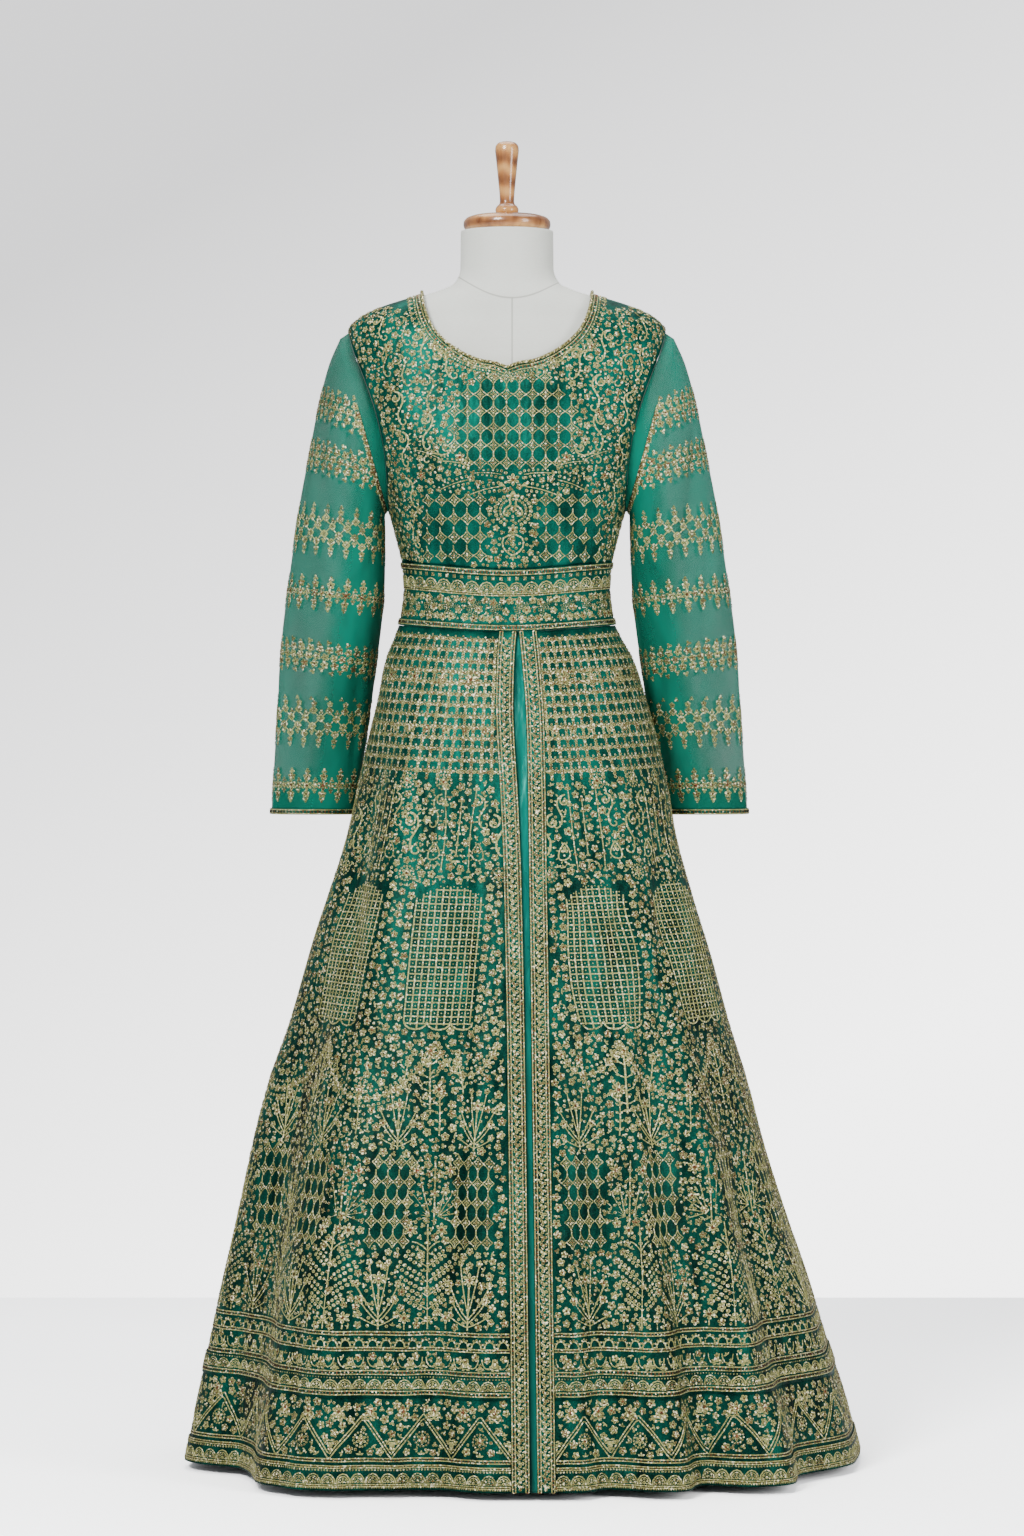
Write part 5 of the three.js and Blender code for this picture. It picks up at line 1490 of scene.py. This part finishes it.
# diamonds over the bust, narrower downwards
flower = diamond(bodiceLook["columns"], 15.0, bodiceLook["rows"])
lastFlower = diamond(bodiceLook["columns"], 15.0)
for facing in (-1, 1):
    centre = bodiceLook["middle"] * (facing < 0)

    def pin(motif, x, z, turn=0, size=1.0, flip=1):
        # a motif on the bodice at a distance from the middle and a height
        x, z = np.broadcast_arrays(np.asarray(x + centre, float), np.asarray(z, float))
        top.lay(bodice, motif, angleAcross(x, z, facing), z, turn, size, flip)

    for row, wide in enumerate((46, 62, 80, 82, 78, 56)):
        x = (np.arange(-6, 6) + 0.5) * bodiceLook["columns"]
        pin(flower if row else lastFlower, x[np.abs(x) < wide], 1280 - row * bodiceLook["rows"])
    # two panels of diamonds above the yoke
    for row in range(4):
        for sign in (-1, 1):
            x = sign * (38 + np.arange(5) * bodiceLook["columns"])
            pin(flower if row else lastFlower, x, 1137 - row * 21.5)
    pin(heartMotif, 0.0, 1124.0, 0, 0.98)
    for sign in (-1, 1):
        # feathers that hang as swags under the bust, and scrolls round it
        for x, z, turn, length in (
                (13, 1166, 78, 1.0), (15, 1152, 96, 1.15), (50, 1176, 70, 1.0), (52, 1160, 100, 1.1),
                (84, 1184, 60, 1.0)):
            pin(featherMotif, sign * x, z, -sign * turn, length * 0.8, sign)
        for x, z, turn, size in (
                (78, 1296, 25, 1.25), (97, 1262, 0, 1.3), (100, 1216, -10, 1.25), (106, 1318, 10, 1.2),
                (128, 1290, 15, 1.25), (131, 1244, 5, 1.2), (126, 1196, -10, 1.15), (128, 1336, 10, 1.1),
                (88, 1190, -75, 1.1), (118, 1146, 0, 1.1), (116, 1098, 10, 1.0), (150, 1300, 10, 1.1),
                (60, 1306, 60, 1.1), (36, 1296, 80, 0.9), (156, 1340, 20, 1.0)):
            pin(scrollMotif, sign * x, z, -sign * turn, size * 0.86, sign)
        for x, z in ((100, 1238), (84, 1206), (112, 1278), (142, 1268), (107, 1166), (146, 1318),
                     (116, 1122), (62, 1186), (140, 1222), (92, 1318)):
            pin(star, sign * x, z, 0, 0.85)

# rows round the yoke
around = np.linspace(0, 360, 500)


def spread(path, places):
    # points of an even path at the given shares of its length
    at = np.asarray(places) * (len(path[0]) - 1)
    return [np.interp(at, np.arange(len(line)), line) for line in path]


def yokeSpots(count, drop):
    path = even(bodice, around, yokeSeam(around) + drop, 1.0)
    return spread(path, np.linspace(0, 1, count + 1)[:-1])


top.lay(bodice, crossing, *yokeSpots(72, -11), 45, 0.7)
top.lay(bodice, filledScallop, *yokeSpots(38, -28.0), 0, 0.98)
top.ladder(bodice, around, yokeSeam(around) - 30.0, 2.4, 3.4)
vine, repeats = even(bodice, around, waistSeam(around) + 25.5, 2.0), 12


def onVine(motif, phase, shift, turn, size):
    u, v = spread(vine, (np.arange(repeats) + phase) / repeats)
    top.lay(bodice, motif, u, v + shift, turn, size)


for phase, shift, size in (
        (0.02, 12, 1.05), (0.2, 11, 1.15), (0.36, -1, 1.1), (0.5, 12, 1.0), (0.66, 9, 1.05), (0.86, 12, 0.9),
        (0.08, -12, 1.1), (0.27, -13, 1.15), (0.45, -12, 0.95), (0.6, -13, 1.1), (0.78, -12, 1.1),
        (0.93, -3, 1.0)):
    onVine(floret, phase, shift * 0.88, phase * 300, size * 0.88)
for phase, shift, turn in (
        (0.1, 0, -78), (0.18, 2, -60), (0.14, -4, -110), (0.6, 0, -80), (0.68, 2, -55), (0.64, -4, -112)):
    onVine(featherMotif, phase, shift, turn, 0.46)


def openPanels(u, v):
    # inside the panels' edges and below the neck edging, without the windows of the diamonds
    angle = np.mod(u, 360)
    keep = np.zeros(len(u), bool)
    for facing in (-1, 1):
        mine = (np.sin(np.radians(angle)) < 0) == (facing < 0)
        across = np.abs(np.mod(angle - middleAngle(facing) + 180, 360) - 180) / 90
        sideAcross, sideZ = sideEdge(np.linspace(0, 1, 120), facing)
        order = np.argsort(sideZ)
        limit = np.interp(v, sideZ[order], sideAcross[order])
        neckAcross, neckZ = topEdge(np.linspace(0, neckShare, 60), facing)
        roof = np.where(across > neckAcross[-1], 1384, np.interp(across, neckAcross, neckZ))
        keep |= mine & (across < np.minimum(limit, 0.99) - 0.022) & (v < roof - 17)
    keep &= v > yokeSeam(angle) + 4
    keep |= (v < yokeSeam(angle) - 35) & (v > waistSeam(angle) + 12)
    x = np.abs(bodice.read(u, v)[:, 0] - bodiceLook["middle"])
    windows = (v > 1170) & (v < 1272) & (x < 64) | (v >= 1272) & (v < 1286) & (x < 42)
    return keep & ~windows & ~((v > 1062) & (v < 1146) & (x > 30) & (x < 106))


def fillBodice(spacing, reach, seed):
    return scatter(bodice, top, (0, 360), (1000, 1384), spacing, reach, seed, openPanels)


# dense small flowers on what is left of the panels
u, v = fillBodice(bodiceLook["floret"], 2.8, 7)
top.lay(bodice, floret, u, v, top.chance.uniform(0, 72, len(u)), top.chance.uniform(0.72, 0.92, len(u)))
print("bodice florets", len(u))
u, v = fillBodice(bodiceLook["bud"], 1.9, 8)
top.lay(bodice, bud, u, v, top.chance.uniform(0, 90, len(u)), 0.8)
print("bodice buds", len(u))
u, v = fillBodice(bodiceLook["loop"], 1.4, 9)
top.lay(bodice, loop, u, v, 0, 0.8)
print("bodice loops", len(u), top.count)
sewn = top.gathered()
centres = sewn[0][sewn[1]].mean(1)
inFront, leftSide = centres[:, 1] < 0, centres[:, 0] < 0
onYoke = centres[:, 2] < yokeSeam(np.degrees(np.arctan2(centres[:, 1], centres[:, 0]))) - 1
bodiceThread = {name: cutOut(f"{name}_thread", sewn, np.flatnonzero(chosen)) for name, chosen in (
    ("bodice_front", inFront & ~onYoke), ("bodice_back_left", ~inFront & ~onYoke & leftSide),
    ("bodice_back_right", ~inFront & ~onYoke & ~leftSide), ("yoke_front", inFront & onYoke),
    ("yoke_back", ~inFront & onYoke))}


def ringBraid(name, node, low, high):
    # a strip all round the yoke with a ladder on it
    strip, ground = Stitches(51), Lifted(bodice, liftOut)
    strip.ladder(ground, around, (low(around) + high(around)) / 2, 4.6, 3.6)
    angle = np.linspace(0, 360, 241)[:-1][None, :]
    outer = ground.read(angle, mix(low(angle), high(angle), np.linspace(0, 1, 4)[:, None]))
    return trimPiece(
        name, node, outer[..., :3], outer[..., :3] - outer[..., 3:6] * trimWall, strip, 0.55, True)


waistBraid = ringBraid("waist_braid_trim", "waist_braid", waistSeam, lambda a: waistSeam(a) + 8)
yokeBraid = ringBraid("yoke_braid_trim", "yoke_braid", lambda a: yokeSeam(a) - 8, yokeSeam)


def neckCord():
    # a twisted cord along the neckline: two strands that turn as it goes round
    frontRight, frontLeft = neckPath(-1, 1), neckPath(-1, -1)
    backLeft, backRight = neckPath(1, 1), neckPath(1, -1)
    parts = [frontRight, [a[::-1] for a in backRight], backLeft, [a[::-1] for a in frontLeft]]
    u, z = [np.concatenate([p[i][:-1] for p in parts]) for i in (0, 1)]
    normal = torsoNormal(u, z)
    path = torsoPoint(u, z) + normal * 3.8
    both = np.concatenate([path, normal], 1)
    both = np.concatenate([both, both[:1]])
    length = distances(both[:, :3])
    at = np.linspace(0, length[-1], 521)[:-1]
    both = np.column_stack([np.interp(at, length, line) for line in both.T])
    path, normal = both[:, :3], unit(both[:, 3:])
    ahead = unit(np.roll(path, -1, 0) - np.roll(path, 1, 0))
    across = unit(np.cross(ahead, normal))
    up = np.cross(across, ahead)
    turned = np.arange(10) * 2 * np.pi / 10
    strands = np.cos(2 * (turned[None, :] - at[:, None] / 1.5))
    radius = 1.75 + 0.22 * strands
    ring = (path[:, None] + across[:, None] * (radius * np.cos(turned))[..., None]
            + up[:, None] * (radius * np.sin(turned))[..., None])
    points = ring.reshape(-1, 3)
    columns = ring.shape[1]
    faces = gridFaces(len(ring) + 1, columns, True)[:, [0, 3, 2, 1]] % len(points)
    # the crests of the strands are paler and the grooves between them reach the shadow tone: painted shade
    own = np.column_stack([0.62 + 0.3 * strands.ravel(), np.full(len(points), 0.5)])
    return makePiece("neck_cord", points, faces, [zari], "zari_trim", own)


neckPiping = neckCord()
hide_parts("neck_piping")
print("bodice embroidery made")

sleeveLook = {"around": 72, "rings": 84}


def seamRing(side, around, out):
    # the sleeve's first ring lies just inside the armhole and stands the way the bodice does
    turned = np.radians(around)
    share = (1 + np.cos(turned)) / 2
    frontAngle, z = armholePlace(share, side, -1)
    backAngle, _ = armholePlace(share, side, 1)
    angle = np.where(np.sin(turned) >= 0, frontAngle, backAngle)
    point, normal = torsoPoint(angle, z), torsoNormal(angle, z)
    hole = torsoPoint(180.0 if side < 0 else 0.0, 1233.5) - point
    into = unit(hole - normal * np.sum(hole * normal, -1, keepdims=True))
    return point + into * 1.8 + normal * (0.8 + out)


def sleeveGrid(side, out, cuffFrom=None):
    # the whole sleeve with its seam ring, or the cuff alone from a share of the way down
    around = np.arange(sleeveLook["around"]) * 360 / sleeveLook["around"]
    t = np.linspace(cuffFrom or 0.02, 1, 8 if cuffFrom else sleeveLook["rings"])
    rings = onSleeve(side, around[None, :], t[:, None], out)
    if not cuffFrom:
        rings = np.concatenate([seamRing(side, around, out)[None], rings])
    return rings[:, ::-1] if side < 0 else rings


def shareAt(side, around, z):
    # how far down the sleeve a height is met, at each angle round it
    shares = np.linspace(0.02, 1, 200)
    inner, outer = columnAt(sleeveRows, 2, shares), columnAt(sleeveRows, 4, shares)
    toOuter = (1 + np.cos(np.radians(around))) / 2
    heights = mix(inner[None, :], outer[None, :], np.atleast_1d(toOuter)[:, None])
    levels = np.broadcast_to(z, len(heights))
    return np.array([np.interp(-level, -row, shares) for level, row in zip(levels, heights)])


# bands down the sleeve: height at the outer and the inner edge, and what they hold
sleeveBands = [
    (1258, 1212, "flowers"), (1197, 1163, "flowers"), (1110, 1094, "diamonds"), (1035, 1022, "sprigs"),
    (962, 946, "flowers"), (881, 874, "diamonds"), (803, 801, "sprigs")]


def onBand(surface, side, thread, outer, inner, shift, motif, pitch, size, turn, phase):
    # copies at equal steps round the sleeve along a band's slope
    ring = np.linspace(0, 360, 121)
    z = mix(inner, outer, (1 + np.cos(np.radians(ring))) / 2) + shift
    path = even(surface, ring, shareAt(side, ring, z), 1.0)
    count = max(4, int(round((len(path[0]) - 1) / pitch)))
    thread.lay(surface, motif, *spread(path, (np.arange(count) + phase) / count), turn, size)


# what each kind of band holds: shift up, motif, pitch, size, turn, phase
bandRows = {"diamonds": [], "flowers": [], "sprigs": [(0, star, 20, 0.92, 0, 0.0)]}
for index, shift in enumerate((-14.1, -4.7, 4.7, 14.1)):  # a chequer of flowers and windows
    bandRows["diamonds"].append((shift, node(9.4, 9.4 if index < 3 else 0), 18.8, 1.0, 0, index % 2 * 0.5))
for up, phase in ((1, 0.5), (-1, 0.0)):  # finials over and under it
    bandRows["diamonds"] += [
        (up * 22, floret, 18.8, 0.72, 0, phase), (up * 28, bud, 18.8, 0.8, 90 - up * 90, phase),
        (up * 12, bud, 18.8, 0.95, 90 - up * 90, phase + 0.5)]
for shift, pitch, phase in ((9, 11.6, 0.15), (0, 10.4, 0.5), (-9, 12.2, 0.3)):
    bandRows["flowers"].append((shift, floret, pitch, 0.98, 15 + shift * 9, phase))
for shift, turn, phase in ((15, 0, 0.0), (17.5, 30, 0.5), (-15, 180, 0.25), (-18, 200, 0.8)):
    bandRows["flowers"].append((shift, bud, 23, 1.0, turn, phase))
for up in (1, -1):  # upright sprays, broad in the middle, tied to low ones between them
    bandRows["sprigs"] += [
        (up * 10.5, floret, 20, 0.95, 0, 0.0), (up * 17.5, bud, 20, 1.0, 90 - up * 90, 0.0),
        (up * 6.5, bud, 20, 0.9, 90 - up * 90, 0.5)]
bandRows["sprigs"].append((0, floret, 20, 0.8, 20, 0.5))

sleevePieces = {}
for side, word in ((-1, "left"), (1, "right")):
    surface = sleeves[side]
    cloth = makeSheet(f"sleeve_{word}_cloth", sleeveGrid(side, 0.6), net, "sleeve_net", 0.5, True)
    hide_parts(f"sleeve_{word}")
    thread = Stitches(60 + side)
    for outer, inner, kind in sleeveBands:
        for row in bandRows[kind]:
            onBand(surface, side, thread, outer, inner, *row)
    points, faces, own, _ = thread.gathered()
    stitched = makePiece(f"sleeve_{word}_thread", points, faces, [zari], "zari_trim", own)
    # the cuff's satin facing inside and its braid outside
    cuffFrom, braidFrom = float(shareAt(side, 0, 799)[0]), float(shareAt(side, 0, 774)[0])
    facing = makeSheet(
        f"cuff_{word}_facing", sleeveGrid(side, -0.9, cuffFrom), brightSatin, "plain_satin", 0.8, True)
    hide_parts(f"cuff_facing_{word}")
    braid, outside = Stitches(70 + side), Lifted(surface, liftOut)
    rows = np.array([1.0, mix(1.0, braidFrom, 0.5), braidFrom])
    braid.ladder(outside, np.linspace(0, 360, 200), rows[1], 4.6)
    outer = outside.read(np.linspace(0, 360, 97)[:-1][None, :], rows[:, None])[:, ::-side]
    cuff = trimPiece(f"cuff_{word}_braid", f"cuff_braid_{word}", outer[..., :3],
                     outer[..., :3] - outer[..., 3:6] * trimWall, braid, 0.6, True)
    sleevePieces[word] = (cloth, stitched, facing, cuff)
print("sleeves made")

# the trims that go with each sheet, gathered into lists that are not used further
skirtTrims = {"front_left": [slitBorders[0], hemBand, skirtBand], "front_right": [slitBorders[1]]}
for name, (sheet, threads) in skirtSheets.items():
    threads + skirtTrims.get(name, [])
for name, sheet in bodicePanels.items():
    trims = [bodiceThread[f"bodice_{name}"]] + ([neckPiping] if name == "front" else [])
for name, sheet in yokePanels.items():
    trims = [bodiceThread[f"yoke_{name}"]] + ([waistBraid, yokeBraid] if name == "front" else [])
for cloth, stitched, facing, cuff in sleevePieces.values():
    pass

studio = {
    "wall": [(0.34, (4.6, 4.6, 4.6)), (0.46, (3.4, 3.4, 3.4)), (0.56, (2.5, 2.5, 2.52)),
             (0.72, (1.45, 1.45, 1.47))],
    "ambient": (0.42, 0.43, 0.45), "floor": (0.80, 0.80, 0.80), "floorSeen": (2.9, 2.9, 2.9)}


def makeFloor():
    # a wide pale board that ends behind the object, and looks brighter than the light it gives back
    made = Finish("pale floor")
    seen = made.node("LightPath", None, None, "Is Camera Ray")
    finish = made.finish({
        "Base Color": made.blend(seen, studio["floor"], studio["floorSeen"]), "Roughness": 0.9,
        "Specular IOR Level": 0.1})
    mesh = bpy.data.meshes.new("floor")
    mesh.from_pydata([(-7, -6, 0), (7, -6, 0), (7, 1.6, 0), (-7, 1.6, 0)], [], [(0, 1, 2, 3)])
    mesh.materials.append(finish)
    floor = bpy.data.objects.new("floor", mesh)
    bpy.context.scene.collection.objects.link(floor)


def makeSky():
    # a pale wall that is lighter low down and to the right where the camera sees it, and soft
    # even light for everything else
    world = bpy.data.worlds.new("studio")
    bpy.context.scene.world = world
    wall = Finish("studio", world)
    direction = wall.node("TexCoord", None, None, "Generated")
    x, z = [wall.node("SeparateXYZ", None, {0: direction}, name) for name in "XZ"]
    seen = wall.node("LightPath", None, None, "Is Camera Ray")
    pale = wall.ramp(z * 1.4 - x * 0.8 + 0.5, *studio["wall"])
    light = wall.node("Background", None, {"Color": wall.blend(seen, studio["ambient"], pale)})
    wall.node("OutputWorld", None, {"Surface": light})


def makeLight(name, place, aim, size, power, tint=(1, 1, 1)):
    lamp = bpy.data.lights.new(name, "AREA")
    lamp.shape, lamp.size, lamp.size_y = "RECTANGLE", size[0], size[1]
    lamp.energy, lamp.color = power, tint
    light = bpy.data.objects.new(name, lamp)
    bpy.context.scene.collection.objects.link(light)
    light.location = place
    light.rotation_euler = (Vector(aim) - Vector(place)).to_track_quat("-Z", "Y").to_euler()


makeFloor()
makeSky()
makeLight("key", (-1.6, -3.4, 3.0), (0, 0, 0.8), (1.2, 1.2), 185)
makeLight("fill", (2.8, -2.4, 1.6), (0, 0, 0.7), (1.0, 2.0), 75)
makeLight("top", (0, 0.4, 3.4), (0, 0, 0.5), (2.4, 2.0), 60)

cameraLook = {"place": (0, -5.5, 0.855), "sensor": 36, "lens": 108.33, "shift": (5, -27), "tall": 1536}
camera = bpy.data.objects.new("camera", bpy.data.cameras.new("camera"))
bpy.context.scene.collection.objects.link(camera)
camera.location = cameraLook["place"]
camera.rotation_euler = (np.pi / 2, 0, 0)
camera.data.sensor_width, camera.data.lens = cameraLook["sensor"], cameraLook["lens"]
camera.data.shift_x, camera.data.shift_y = [step / cameraLook["tall"] for step in cameraLook["shift"]]
camera.data.clip_end = 100
bpy.context.scene.camera = camera
